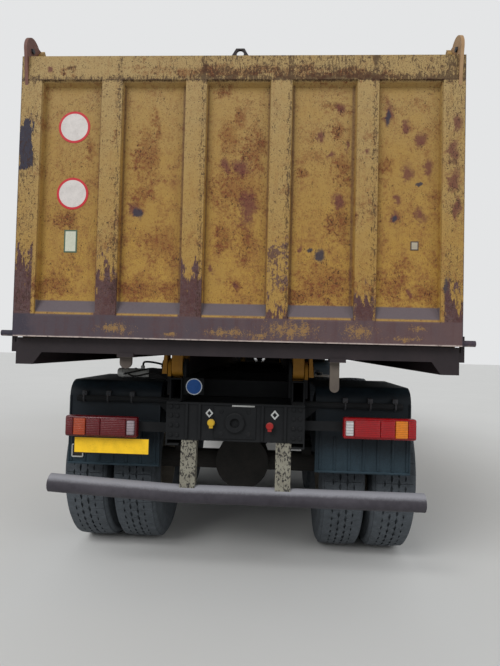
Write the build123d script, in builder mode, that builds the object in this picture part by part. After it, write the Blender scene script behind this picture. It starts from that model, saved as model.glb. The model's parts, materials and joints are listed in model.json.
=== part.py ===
from math import cos, degrees, radians, sin, sqrt
import os

from build123d import *

os.makedirs("parts", exist_ok=True)

# A three-axle tipper lorry, in millimetres. +X is its right, +Y forward, +Z up, and the ground is at zero.
# Lengths along the lorry are given forward from the tailgate's rear face, and tail_y puts that face in place.
bed_length = 5100  # tailgate's rear face to the headboard's front face
bed_width = 2500
bed_top = 3137  # top of the tailgate
floor_under = 1530  # underside of the bed's floor plate
hoist_bay = 750  # headboard to cab
cab_length = 1700
bumper_reach = 110  # bumper ahead of the cab
ear_reach = 30  # hinge ears behind the tailgate's rear face
wheel_radius = 600
rear_overhang = 1290  # tailgate's rear face to the last axle
tandem_spacing = 1370
front_axle_setback = 400  # cab's back wall to the front axle
move_gap = 5  # between pieces that move past each other
seat_gap = 0.3  # between a shaft and its bore, and between seated pieces

cab_back = bed_length + hoist_bay
cab_front = cab_back + cab_length
bumper_front = cab_front + bumper_reach
tail_y = (ear_reach - bumper_front) / 2
axle_z = wheel_radius

# Frame
frame_width = 860
rail_flange = 80
rail_height = 270
rail_plate = 8
rail_low = 880
rail_top = rail_low + rail_height
rail_inner = frame_width / 2 - rail_flange
frame_end = 340
frame_front = cab_front - 100
end_member_low = 915

# Subframe and bed hinge
subframe_height = 140
subframe_start = 420
subframe_top = rail_top + subframe_height
hinge_at = 500  # bed hinge pin, forward from the tailgate
hinge_rise = 70  # bed hinge pin above the subframe
hinge_pin = 30
hinge_y = tail_y + hinge_at
hinge_z = subframe_top + hinge_rise
hinge_cheek = 20
hinge_lug = 20  # the bed's own plates outside the hinge's outer cheeks
lug_flare = 12

# Tailgate
gate_depth = 115
panel_recess = 45
gate_rail = 137  # top rail's height
gate_post = 120
rib_face = 117
rib_pitch = 481
rib_flare = 8
shelf_top = 1737
shelf_low = 1650
pivot_at = 130  # tailgate's pivot, forward from its rear face
pivot_z = bed_top + 63
pivot_pin = 20
ear_plate = 18
ear_head = 85  # radius of each ear's round head
head_z = bed_top + 43
ear_boss = 45  # radius of the ear round its pivot
head_at = ear_head - ear_reach
ear_low = bed_top - 167
ear_x = bed_width / 2 - 30  # middle of each ear
lock_pin = 17
lock_reach = 80
lock_z = 1547

# Bed
wall_plate = 10
wall_depth = 78  # side wall with its ribs
wall_rib = 110
side_rib_count = 9
wall_top = bed_top - 37
floor_plate = 10
bearer_height = 83
bearer_width = 80
bearer_count = 10
sill_ledge = 20
sill_side_height = 75
runner_width = 70
sill_gap = 5  # tailgate above the rear sill

# Hoist: its outer tube turns in brackets on the headboard, and its stages reach down to the frame
hoist_at = bed_length + 210
hoist_foot_z = 1160
trunnion_z = 1600
trunnion_pin = 25
trunnion_cheek = 25
barrel_radius = 105
barrel_base = 1330
barrel_top = 2870
barrel_cap = 40
stage_drop = 16  # each stage's radius under the one outside it
stage_step = 20  # how far each stage stands out under the one outside it
stage_cap = 15
stage_count = 3
stage_flats = 24
foot_eye = 46
foot_bore = 24
foot_pin_half = 60  # half the length of the pin through the last stage's eye

# Wheels
tyre_width = 315
tread_width = 250
shoulder_radius = 560
bead_radius = 305
tyre_flats = 36
rim_width = 250
rim_wall = 20
twin_spacing = 345
twin_x = 897.5  # middle of each twin pair
front_wheel_x = 1040
kingpin_x = 905
axle_tube = 75
axle_stub = 60

# Cab
cab_width = 2400
cab_wall = 60
cab_floor = 1330
cab_roof = 2950
skirt_low = 900
screen_low = 2020
cab_pivot_at = cab_front - 130
cab_pivot_z = 920
cab_pin = 22
cab_arm = 30  # thickness of the cab's pivot arms
glass_plate = 6
door_gap = 6

wall_inner = bed_width / 2 - wall_depth
headboard_back = bed_length - wall_depth
rear_axle_y = tail_y + rear_overhang
tandem_y = rear_axle_y + tandem_spacing
bogie_y = (rear_axle_y + tandem_y) / 2
front_axle_y = tail_y + cab_back + front_axle_setback
hoist_y = tail_y + hoist_at
cab_pivot_y = tail_y + cab_pivot_at
sides = (("left", -1), ("right", 1))


def block(x, y, z, mode=Mode.ADD):
    # A box between the low and high value of each pair, with y measured forward from the tailgate.
    middle = ((x[0] + x[1]) / 2, tail_y + (y[0] + y[1]) / 2, (z[0] + z[1]) / 2)
    with Locations(middle):
        Box(abs(x[1] - x[0]), abs(y[1] - y[0]), abs(z[1] - z[0]), mode=mode)


def rod(radius, x, y, z, mode=Mode.ADD):
    # A round bar across the lorry between two places in x.
    with Locations(Location(((x[0] + x[1]) / 2, y, z), (0, 90, 0))):
        Cylinder(radius, abs(x[1] - x[0]), mode=mode)


def drum(radius, x, y, z, mode=Mode.ADD, flats=36):
    # A large round piece across the lorry, cut to flats, with the radius to the middle of each flat.
    with BuildSketch(Plane.YZ.offset(min(x))) as outline:
        with Locations((y, z)):
            RegularPolygon(radius, flats, major_radius=False, rotation=180 / flats)
    extrude(outline.sketch, amount=abs(x[1] - x[0]), mode=mode)


def post(radius, x, y, z, mode=Mode.ADD):
    # An upright round bar between two heights.
    with Locations((x, y, (z[0] + z[1]) / 2)):
        Cylinder(radius, z[1] - z[0], mode=mode)


def boss(radius, x, y, z, mode=Mode.ADD, flats=14):
    # An upright boss cut to flats between two heights.
    with BuildSketch(Plane.XY.offset(z[0])) as outline:
        with Locations((x, y)):
            RegularPolygon(radius, flats, major_radius=False)
    extrude(outline.sketch, amount=z[1] - z[0], mode=mode)


def finish(piece, label):
    piece.part.label = label
    export_step(piece.part, f"parts/{label}.step")


# Chassis rails: two channels, open inwards
with BuildPart() as chassis_rails:
    with BuildSketch(Plane.XZ.offset(-tail_y - frame_end)):
        with Locations((frame_width / 2 - rail_flange / 2, rail_low + rail_height / 2)):
            Rectangle(rail_flange, rail_height)
        with Locations((rail_inner + (rail_flange - rail_plate) / 2, rail_low + rail_height / 2)):
            Rectangle(rail_flange - rail_plate, rail_height - 2 * rail_plate, mode=Mode.SUBTRACT)
    extrude(amount=frame_end - frame_front)
    mirror(about=Plane.YZ)
finish(chassis_rails, "chassis_rails")

# Crossmembers between the rails' webs, and the two rests behind the cab
# (start, depth along the lorry, lowest, highest)
member_top = rail_top - rail_plate
cross_table = (
    (frame_end, 80, end_member_low, member_top),
    (rear_overhang - 480, 90, rail_low + 30, member_top),
    (rear_overhang + tandem_spacing + 500, 90, rail_low + 30, member_top),
    (bed_length - 620, 90, rail_low + 60, member_top),
    (cab_back + 20, 90, rail_low + 160, member_top),
    (frame_front - 210, 90, rail_low + 40, rail_low + 130),
)
member_reach = frame_width / 2 - rail_plate
with BuildPart() as crossmembers:
    for start, depth, low, high in cross_table:
        block((-member_reach, member_reach), (start, start + depth), (low, high))
        inner = (start + rail_plate, start + depth)
        block(
            (-member_reach, member_reach), inner, (low + rail_plate, high - rail_plate), Mode.SUBTRACT
        )
    rest_at = (cab_back + 20, cab_back + 100)
    for side in (-1, 1):
        rest_x = (side * rail_inner, side * (frame_width / 2 - 10))
        block(rest_x, rest_at, (rail_top, cab_floor - seat_gap))
finish(crossmembers, "crossmembers")

# Subframe: two box rails on the chassis rails, with cross tubes, the bed hinge's cheeks and pins, and the
# cradle that the eye of the hoist's last stage stands in
subframe_end = hoist_at + 130
subframe_cross_count = 5
cross_step = (subframe_end - 400 - subframe_start - 200) / (subframe_cross_count - 1)
cheek_foot = subframe_top - 110
lug_x = frame_width / 2 + hinge_cheek + move_gap + 1
lug_reach = lug_x + hinge_lug + lug_flare
runner_middle = rail_inner + rail_flange / 2
cradle_cheek = 25
cradle_gap = foot_pin_half + move_gap
with BuildPart() as subframe:
    block((rail_inner, frame_width / 2), (subframe_start, subframe_end), (rail_top, subframe_top))
    block(
        (rail_inner + rail_plate, frame_width / 2 - rail_plate),
        (subframe_start, subframe_end),
        (rail_top + rail_plate, subframe_top - rail_plate),
        Mode.SUBTRACT,
    )
    for cheek_start in (rail_inner - hinge_cheek, frame_width / 2):
        with BuildSketch(Plane.YZ.offset(cheek_start)):
            with Locations((hinge_y, (cheek_foot + hinge_z) / 2)):
                Rectangle(110, hinge_z - cheek_foot)
            with Locations((hinge_y, hinge_z)):
                Circle(55)
        extrude(amount=hinge_cheek)
    rod(hinge_pin, (rail_inner - hinge_cheek, lug_reach), hinge_y, hinge_z)
    mirror(about=Plane.YZ)
    for index in range(subframe_cross_count):
        start = subframe_start + 200 + index * cross_step
        block((-rail_inner, rail_inner), (start, start + 80), (rail_top + 15, subframe_top - 15))
    for beam_start in (hoist_at - 130, hoist_at + 60):
        block(
            (-member_reach, member_reach),
            (beam_start, beam_start + 70),
            (hoist_foot_z - 150, hoist_foot_z - 80),
        )
    for side in (-1, 1):
        with BuildSketch(Plane.YZ.offset(side * cradle_gap)):
            with Locations((hoist_y, hoist_foot_z - 75)):
                Rectangle(260, 150)
            with Locations((hoist_y, hoist_foot_z)):
                Circle(60)
            with Locations((hoist_y, hoist_foot_z)):
                Circle(foot_bore, mode=Mode.SUBTRACT)
        extrude(amount=side * cradle_cheek)
finish(subframe, "subframe")

# Hoist barrel: a tube open below and capped above, with a trunnion pin on each side
trunnion_gap = barrel_radius + move_gap + 3
stage_radii = [barrel_radius - 10 - stage_drop * index for index in range(stage_count)]
with BuildPart() as hoist_barrel:
    boss(barrel_radius, 0, hoist_y, (barrel_base, barrel_top), flats=stage_flats)
    trunnion_half = trunnion_gap + trunnion_cheek
    rod(trunnion_pin, (-trunnion_half, trunnion_half), hoist_y, trunnion_z)
    barrel_hollow = (barrel_base, barrel_top - barrel_cap)
    boss(stage_radii[0] + seat_gap, 0, hoist_y, barrel_hollow, Mode.SUBTRACT, stage_flats)
finish(hoist_barrel, "hoist_barrel")

# Hoist stages: tubes inside one another, open below, the last one solid with the eye at its foot
for index, radius in enumerate(stage_radii):
    last = index == stage_count - 1
    stage_low = barrel_base - stage_step * (index + 1)
    stage_top = barrel_top - barrel_cap - stage_cap * (2 * index + 1)
    with BuildPart() as stage:
        boss(radius, 0, hoist_y, (stage_low, stage_top), flats=stage_flats)
        if last:
            boss(foot_eye - 6, 0, hoist_y, (hoist_foot_z, stage_low))
            drum(foot_eye, (-35, 35), hoist_y, hoist_foot_z, flats=16)
            drum(22, (-foot_pin_half, foot_pin_half), hoist_y, hoist_foot_z, flats=12)
        else:
            hollow = radius - stage_drop + seat_gap
            stage_hollow = (stage_low, stage_top - stage_cap)
            boss(hollow, 0, hoist_y, stage_hollow, Mode.SUBTRACT, stage_flats)
    finish(stage, f"hoist_stage_{index + 1}")

wall_start = gate_depth + move_gap  # the bed's walls and floor ahead of the closed tailgate

# Bed underframe: runners, cross bearers, side sills, rear sill, the hinge's outer lugs, and the stubs and
# lock arms that hang from the sill
bearer_low = floor_under - bearer_height
runner_low = subframe_top + seat_gap
runner_end = hinge_rise - move_gap - 1
sill_start = 50
bearer_step = (headboard_back - sill_start - bearer_width) / (bearer_count - 1)
lug_low = hinge_z - 45
stub_low = bearer_low - 22
arm_plate = 25
arm_start = sill_start + 25
# Stubs under the sill, each with its arm: low x, high x, arm's middle x, arm's half width, end's middle z
stub_table = ((-657, -563, -618, 34, 1394), (540, 630, 574, 26, 1282))
with BuildPart() as bed_underframe:
    with BuildSketch(Plane.YZ.offset(runner_middle - runner_width / 2)):
        with Locations((hinge_y, runner_low)):
            Rectangle(headboard_back - hinge_at, bearer_low - runner_low, align=(Align.MIN, Align.MIN))
        with Locations((hinge_y - runner_end, hinge_z)):
            Rectangle(runner_end, bearer_low - hinge_z, align=(Align.MIN, Align.MIN))
        with Locations((hinge_y, hinge_z)):
            Circle(runner_end)
        with Locations((hinge_y, hinge_z)):
            Circle(hinge_pin + seat_gap, mode=Mode.SUBTRACT)
    extrude(amount=runner_width)
    mirror(about=Plane.YZ)
    lug_half = hinge_pin + 25
    for side in (-1, 1):
        block(
            (side * rail_inner, side * (lug_x + hinge_lug)),
            (hinge_at - lug_half, hinge_at + lug_half),
            (bearer_low, floor_under),
        )
        with BuildSketch(Plane.XZ.offset(lug_half - hinge_y)):
            with BuildLine():
                Polyline(
                    (side * lug_x, bearer_low),
                    (side * (lug_x + hinge_lug), bearer_low),
                    (side * lug_reach, lug_low),
                    (side * lug_x, lug_low),
                    close=True,
                )
            make_face()
        extrude(amount=-2 * lug_half)
    rod(hinge_pin + seat_gap, (-lug_reach, lug_reach), hinge_y, hinge_z, Mode.SUBTRACT)
    for index in range(1, bearer_count):
        start = sill_start + index * bearer_step
        block((-wall_inner, wall_inner), (start, start + bearer_width), (bearer_low, floor_under))
        block(
            (-wall_inner, wall_inner),
            (start + rail_plate, start + bearer_width),
            (bearer_low + rail_plate, floor_under - rail_plate),
            Mode.SUBTRACT,
        )
    block(
        (-bed_width / 2, bed_width / 2),
        (sill_start, wall_start),
        (bearer_low - sill_gap, floor_under - sill_gap),
    )
    block((-wall_inner, wall_inner), (wall_start, wall_start + 100), (bearer_low, floor_under))
    for low_x, high_x, arm_x, arm_half, end_z in stub_table:
        block((low_x, high_x), (sill_start - 15, wall_start), (stub_low, bearer_low))
        block((arm_x - arm_half, arm_x + arm_half), (arm_start, arm_start + arm_plate), (end_z, stub_low))
        with BuildSketch(Plane.XZ.offset(-tail_y - arm_start)):
            with Locations((arm_x, end_z)):
                Circle(arm_half)
        extrude(amount=-arm_plate)
    for side in (-1, 1):
        block(
            (side * (wall_inner - sill_ledge), side * bed_width / 2),
            (sill_start, bed_length),
            (bearer_low - sill_side_height, bearer_low),
        )
        with BuildSketch(Plane.XZ.offset(-tail_y - sill_start)):
            with BuildLine():
                Polyline(
                    (side * (wall_inner - sill_ledge), bearer_low - sill_side_height),
                    (side * (wall_inner - sill_ledge), bearer_low),
                    (side * (wall_inner - sill_side_height), bearer_low),
                    close=True,
                )
            make_face()
        extrude(amount=-rail_plate)
        claw_x = (side * bed_width / 2, side * (bed_width / 2 + 32))
        claw_start = 40 + lock_pin + move_gap
        block(claw_x, (claw_start, claw_start + 40), (bearer_low - 5, lock_z - 50))
        claw_outer = (side * (bed_width / 2 + 12), claw_x[1])
        block(claw_outer, (claw_start, claw_start + 26), (lock_z - 50, lock_z + 40))
finish(bed_underframe, "bed_underframe")

# Bed floor plate
with BuildPart() as bed_floor:
    block(
        (-wall_inner, wall_inner),
        (wall_start, headboard_back),
        (floor_under, floor_under + floor_plate),
    )
finish(bed_floor, "bed_floor")

# Bed side walls: a plate with top rail, bottom rail and upright ribs outside, and the pin for the ear
side_rib_step = (bed_length - wall_start - wall_rib) / (side_rib_count - 1)
pin_inner = ear_x - ear_plate / 2 - move_gap - 22
with BuildPart() as bed_sides:
    inner, plate, outer = wall_inner, wall_inner + wall_plate, bed_width / 2
    block((inner, plate), (wall_start, bed_length), (bearer_low, wall_top))
    block((plate, outer), (wall_start, bed_length), (wall_top - gate_rail + 20, wall_top))
    block((plate, outer), (wall_start, bed_length), (bearer_low, shelf_low))
    for index in range(side_rib_count):
        start = wall_start + index * side_rib_step
        block((plate, outer), (start, start + wall_rib), (shelf_low, wall_top - gate_rail + 20))
    with BuildSketch(Plane.YZ.offset(pin_inner)):
        with BuildLine():
            Polyline(
                (tail_y + wall_start, wall_top),
                (tail_y + wall_start, bed_top + 8),
                (tail_y + pivot_at - 34, pivot_z - 35),
                (tail_y + pivot_at - 34, pivot_z),
                (tail_y + pivot_at, pivot_z + 40),
                (tail_y + pivot_at + 40, pivot_z),
                (tail_y + wall_start + 220, wall_top),
                close=True,
            )
        make_face()
    extrude(amount=22)
    rod(pivot_pin, (pin_inner, ear_x + ear_plate / 2 + 10), tail_y + pivot_at, pivot_z)
    mirror(about=Plane.YZ)
finish(bed_sides, "bed_sides")

# Headboard across the bed's front, with the two cheeks that the hoist's barrel turns between
head_top = pivot_z
bracket_plate = 12
head_rib_step = 2 * wall_inner / 6
with BuildPart() as headboard:
    head_x = (-wall_inner, wall_inner)
    block(head_x, (headboard_back, headboard_back + wall_plate), (floor_under, head_top))
    front_depth = (headboard_back + wall_plate, bed_length)
    block(head_x, front_depth, (head_top - gate_rail, head_top))
    block(head_x, front_depth, (floor_under, shelf_low))
    for index in range(7):
        rib_x = -wall_inner + index * head_rib_step
        low_x = max(-wall_inner, rib_x - wall_rib / 2)
        high_x = min(wall_inner, rib_x + wall_rib / 2)
        block((low_x, high_x), front_depth, (shelf_low, head_top - gate_rail))
    block((-190, 190), (bed_length, bed_length + bracket_plate), (trunnion_z - 60, trunnion_z + 220))
    bracket_y = tail_y + bed_length + bracket_plate
    for side in (-1, 1):
        with BuildSketch(Plane.YZ.offset(side * trunnion_gap)):
            with BuildLine():
                Polyline(
                    (bracket_y, trunnion_z - 55),
                    (hoist_y + 40, trunnion_z - 50),
                    (hoist_y + 55, trunnion_z),
                    (hoist_y + 40, trunnion_z + 50),
                    (bracket_y, trunnion_z + 200),
                    close=True,
                )
            make_face()
            with Locations((hoist_y, trunnion_z)):
                Circle(trunnion_pin + seat_gap, mode=Mode.SUBTRACT)
        extrude(amount=side * trunnion_cheek)
finish(headboard, "headboard")

# Tailgate: recessed panel with rails, posts and four flared ribs
rail_under = bed_top - gate_rail
with BuildPart() as tailgate_panel:
    with BuildSketch(Plane.YZ.offset(-bed_width / 2)):
        with BuildLine():
            Polyline(
                (tail_y, floor_under),
                (tail_y + gate_depth, floor_under),
                (tail_y + gate_depth, bed_top),
                (tail_y, bed_top),
                (tail_y, rail_under),
                (tail_y + panel_recess, rail_under - 25),
                (tail_y + panel_recess, shelf_top),
                (tail_y, shelf_low),
                close=True,
            )
        make_face()
    extrude(amount=bed_width)
    with BuildSketch(Plane.XY.offset(shelf_low)):
        rib_half = rib_face / 2
        for index in range(4):
            rib_x = (index - 1.5) * rib_pitch
            with BuildLine():
                Polyline(
                    (rib_x - rib_half, tail_y),
                    (rib_x + rib_half, tail_y),
                    (rib_x + rib_half + rib_flare, tail_y + panel_recess),
                    (rib_x - rib_half - rib_flare, tail_y + panel_recess),
                    close=True,
                )
            make_face()
        for side in (-1, 1):
            with BuildLine():
                Polyline(
                    (side * bed_width / 2, tail_y),
                    (side * (bed_width / 2 - gate_post), tail_y),
                    (side * (bed_width / 2 - gate_post - rib_flare), tail_y + panel_recess),
                    (side * bed_width / 2, tail_y + panel_recess),
                    close=True,
                )
            make_face()
    extrude(amount=rail_under - shelf_low)
    for side in (-1, 1):
        lock_x = (side * (bed_width / 2 - 10), side * (bed_width / 2 + lock_reach))
        rod(lock_pin, lock_x, tail_y + 40, lock_z)
finish(tailgate_panel, "tailgate_panel")

# Hinge ears: plates up the tailgate's face and over its top to the pivot, and the lifting eye between them
eye_height = 58
eye_bore = 21
eye_plate = 15
with BuildPart() as tailgate_ears:
    with BuildSketch(Plane.YZ.offset(ear_x - ear_plate / 2)):
        with BuildLine():
            Polyline(
                (tail_y, ear_low),
                (tail_y, bed_top),
                (tail_y + pivot_at, bed_top + 3),
                (tail_y + pivot_at, pivot_z + ear_boss),
                (tail_y + head_at, pivot_z + ear_boss),
                (tail_y - ear_reach, head_z),
                close=True,
            )
        make_face()
        with Locations((tail_y + head_at, head_z)):
            Circle(ear_head)
        with Locations((tail_y, bed_top)):
            Rectangle(2 * ear_head, ear_head, align=(Align.MIN, Align.MAX), mode=Mode.SUBTRACT)
        with Locations((tail_y + pivot_at, pivot_z)):
            Circle(ear_boss)
        with Locations((tail_y + pivot_at, pivot_z)):
            Circle(pivot_pin + seat_gap, mode=Mode.SUBTRACT)
    extrude(amount=ear_plate)
    mirror(about=Plane.YZ)
    with BuildSketch(Plane.XZ.offset(-tail_y - 30)):
        with BuildLine():
            Polyline(
                (-50, bed_top), (50, bed_top), (50, bed_top + 14), (24, bed_top + eye_height),
                (-24, bed_top + eye_height), (-50, bed_top + 14), close=True,
            )
        make_face()
        with Locations((0, bed_top + 29)):
            Circle(eye_bore, mode=Mode.SUBTRACT)
    extrude(amount=-eye_plate)
finish(tailgate_ears, "tailgate_ears")

# Rear underrun: a tube bent up at its left end, on two channel struts
tube_radius = 57
tube_z = 573
tube_y = tail_y + frame_end + 40
with BuildPart() as underrun_tube:
    with BuildLine():
        FilletPolyline((1170, tube_y, tube_z), (-370, tube_y, tube_z), (-1168, tube_y, tube_z + 39), radius=3000)
    with BuildSketch(Plane.YZ.offset(1170)):
        with Locations((tube_y, tube_z)):
            Circle(tube_radius)
            Circle(tube_radius - 7, mode=Mode.SUBTRACT)
    sweep()
finish(underrun_tube, "underrun_tube")

# Struts: (middle at the top, middle at the foot)
strut_width = 95
strut_table = ((-285, -290), (302, 302))
with BuildPart() as underrun_struts:
    for top_x, foot_x in strut_table:
        with BuildSketch(Plane.XZ.offset(-tail_y - frame_end - 5)):
            with BuildLine():
                Polyline(
                    (top_x - strut_width / 2, end_member_low),
                    (top_x + strut_width / 2, end_member_low),
                    (foot_x + strut_width / 2, tube_z + tube_radius - 25),
                    (foot_x - strut_width / 2, tube_z + tube_radius - 25),
                    close=True,
                )
            make_face()
        extrude(amount=-70)
        middle = (top_x + foot_x) / 2
        block(
            (middle - strut_width / 2 + 10, middle + strut_width / 2 - 10),
            (frame_end + 13, frame_end + 80),
            (tube_z, end_member_low),
            Mode.SUBTRACT,
        )
    rod(tube_radius + seat_gap, (-400, 400), tube_y, tube_z, Mode.SUBTRACT)
finish(underrun_struts, "underrun_struts")

# Rear brackets: a lamp bar out from each rail, with straps for the number plate on the left, and a tube
# with a gusset out to each mudguard
guard_low = 695
guard_top = 1252
guard_back = 550
guard_inner = 512
guard_outer = 1128
lamp_depth = 70
lamp_face = 350
bar_start = lamp_face + lamp_depth
lamp_table = ((-1080, -620, 910), (670, 1115, 950))  # low x, high x, low z
lamp_height = 130
support_radius = 20
support_z = 1135
support_y = tail_y + guard_back - support_radius - seat_gap
with BuildPart() as rear_brackets:
    for low_x, high_x, low_z in lamp_table:
        reach = (low_x, -frame_width / 2) if low_x < 0 else (frame_width / 2, high_x)
        block(reach, (bar_start, bar_start + 10), (low_z + 35, low_z + 95))
    for strap_x in (-960, -640):
        block((strap_x, strap_x + 30), (bar_start, bar_start + 10), (790, 946))
    for side in (-1, 1):
        support_x = (side * frame_width / 2, side * (guard_outer - 60))
        drum(support_radius, support_x, support_y, support_z, flats=12)
        with BuildSketch(Plane.XZ.offset(-support_y + 5)):
            with BuildLine():
                Polyline(
                    (side * frame_width / 2, support_z + 10),
                    (side * (frame_width / 2 + 120), support_z),
                    (side * frame_width / 2, support_z - 110),
                    close=True,
                )
            make_face()
        extrude(amount=-10)
finish(rear_brackets, "rear_brackets")

with BuildPart() as tail_lamps:
    for low_x, high_x, low_z in lamp_table:
        block((low_x, high_x), (lamp_face, bar_start), (low_z, low_z + lamp_height))
    fillet(tail_lamps.edges().filter_by(Axis.Y), 12)
finish(tail_lamps, "tail_lamps")

# Rear mudguards: an upright rear sheet turned over the last axle's tyres
guard_sheet = 7
guard_corner = 100
guard_front = rear_overhang + 60
with BuildPart() as rear_mudguards:
    with BuildSketch(Plane.YZ.offset(guard_inner)):
        with BuildLine():
            FilletPolyline(
                (tail_y + guard_back, guard_low),
                (tail_y + guard_back, guard_top),
                (tail_y + guard_front, guard_top),
                radius=guard_corner,
            )
            FilletPolyline(
                (tail_y + guard_front, guard_top - guard_sheet),
                (tail_y + guard_back + guard_sheet, guard_top - guard_sheet),
                (tail_y + guard_back + guard_sheet, guard_low),
                radius=guard_corner - guard_sheet,
            )
            Line((tail_y + guard_front, guard_top), (tail_y + guard_front, guard_top - guard_sheet))
            Line((tail_y + guard_back, guard_low), (tail_y + guard_back + guard_sheet, guard_low))
        make_face()
    extrude(amount=guard_outer - guard_inner)
    mirror(about=Plane.YZ)
finish(rear_mudguards, "rear_mudguards")

# Rear axles: a beam with round differential housing, spring pads and stubs for the wheels
stub_end = twin_x + 50
leaf_count = 6
leaf_plate = 22
leaf_radius = 3000
leaf_width = 75
leaf_x = frame_width / 2 + 38
bogie_half = tandem_spacing / 2
seat_z = axle_z + 200
leaf_centre_z = seat_z - leaf_radius
pad_half = 45
pad_top = leaf_centre_z + sqrt(leaf_radius**2 - (bogie_half + pad_half) ** 2) - seat_gap
drum_inner = twin_x - 200
nose_length = 330
housing_radius = 205
housing_depth = 230
with BuildPart() as rear_axles:
    for axle_y in (rear_axle_y, tandem_y):
        rod(axle_stub, (-stub_end, stub_end), axle_y, axle_z)
        drum(axle_tube, (-drum_inner + move_gap, drum_inner - move_gap), axle_y, axle_z, flats=16)
        with BuildSketch(Plane.XZ.offset(-axle_y - housing_depth / 2)):
            with Locations((0, axle_z)):
                RegularPolygon(housing_radius, 24, major_radius=False)
        extrude(amount=housing_depth)
        for place, radius in ((0, 130), (nose_length, 60)):
            with BuildSketch(Plane.XZ.offset(-axle_y - place)):
                with Locations((0, axle_z + 10)):
                    RegularPolygon(radius, 16)
        loft(ruled=True)
        for side in (-1, 1):
            pad_x = (side * leaf_x, side * (leaf_x + leaf_width))
            pad_y = (axle_y - tail_y - pad_half, axle_y - tail_y + pad_half)
            block(pad_x, pad_y, (axle_z, pad_top))
finish(rear_axles, "rear_axles")

# Front axle: a dropped I-beam with an eye and a kingpin at each end
beam_low = 475
beam_top = 565
beam_depth = 90
eye_radius = 45
eye_half = 62
kingpin = 24
kingpin_half = 102
with BuildPart() as front_axle:
    with BuildSketch(Plane.XZ.offset(-front_axle_y - beam_depth / 2)):
        with BuildLine():
            Polyline(
                (0, beam_low), (560, beam_low), (720, axle_z - 60), (kingpin_x, axle_z - 50),
                (kingpin_x, axle_z + 50), (700, axle_z + 30), (530, beam_top), (0, beam_top), close=True,
            )
        make_face()
    extrude(amount=beam_depth)
    for y in (front_axle_y - beam_depth / 2 - 1, front_axle_y + 13):
        with BuildSketch(Plane.XZ.offset(-y)):
            with BuildLine():
                Polyline(
                    (0, beam_low + 18), (552, beam_low + 18), (712, axle_z - 42), (kingpin_x - 60, axle_z - 33),
                    (kingpin_x - 60, axle_z + 28), (705, axle_z + 12), (535, beam_top - 18),
                    (0, beam_top - 18), close=True,
                )
            make_face()
        extrude(amount=-(beam_depth / 2 - 12), mode=Mode.SUBTRACT)
    boss(eye_radius, kingpin_x, front_axle_y, (axle_z - eye_half, axle_z + eye_half))
    post(kingpin, kingpin_x, front_axle_y, (axle_z - kingpin_half, axle_z + kingpin_half))
    mirror(about=Plane.YZ)
finish(front_axle, "front_axle")

# Leaf springs: the front ones on the axle beam, hung from the rails, and the bogie's over a trunnion shaft
bogie_shaft_z = 720
front_leaf_count = 5
front_leaf_plate = 20
front_leaf_radius = 2500
front_half = 700
front_seat_z = beam_top + 30
front_centre_z = front_seat_z + front_leaf_radius + front_leaf_count * front_leaf_plate
with BuildPart() as leaf_springs:
    for index in range(front_leaf_count):
        half_angle = degrees((front_half - index * 120) / front_leaf_radius)
        inner_radius = front_leaf_radius + index * front_leaf_plate
        with BuildSketch(Plane.YZ.offset(rail_inner)):
            with BuildLine():
                centre = (front_axle_y, front_centre_z)
                low = CenterArc(centre, inner_radius, 270 - half_angle, 2 * half_angle)
                high = CenterArc(centre, inner_radius + front_leaf_plate, 270 - half_angle, 2 * half_angle)
                Line(low @ 0, high @ 0)
                Line(low @ 1, high @ 1)
            make_face()
        extrude(amount=rail_flange)
    axle_at = front_axle_y - tail_y
    block((rail_inner, frame_width / 2), (axle_at - 70, axle_at + 70), (beam_top, front_seat_z + 2))
    for end in (-1, 1):
        hanger = (axle_at + end * (front_half - 60), axle_at + end * (front_half + 20))
        block((rail_inner, frame_width / 2), hanger, (rail_low - 105, rail_low))
    for index in range(leaf_count):
        half_angle = degrees((bogie_half + 75 - index * 110) / leaf_radius)
        inner_radius = leaf_radius + index * leaf_plate
        with BuildSketch(Plane.YZ.offset(leaf_x)):
            with BuildLine():
                centre = (bogie_y, leaf_centre_z)
                low = CenterArc(centre, inner_radius, 90 - half_angle, 2 * half_angle)
                high = CenterArc(centre, inner_radius + leaf_plate, 90 - half_angle, 2 * half_angle)
                Line(low @ 0, high @ 0)
                Line(low @ 1, high @ 1)
            make_face()
        extrude(amount=leaf_width)
    block(
        (leaf_x, leaf_x + leaf_width),
        (bogie_y - tail_y - 110, bogie_y - tail_y + 110),
        (bogie_shaft_z - 60, seat_z + 2),
    )
    with BuildSketch(Plane.YZ.offset(frame_width / 2)):
        with BuildLine():
            Polyline(
                (bogie_y - 190, rail_top - 40), (bogie_y + 190, rail_top - 40), (bogie_y + 190, rail_low),
                (bogie_y + 75, bogie_shaft_z - 70), (bogie_y - 75, bogie_shaft_z - 70), (bogie_y - 190, rail_low),
                close=True,
            )
        make_face()
    extrude(amount=leaf_x - frame_width / 2)
    drum(50, (0, leaf_x + leaf_width), bogie_y, bogie_shaft_z, flats=16)
    mirror(about=Plane.YZ)
finish(leaf_springs, "leaf_springs")

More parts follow.
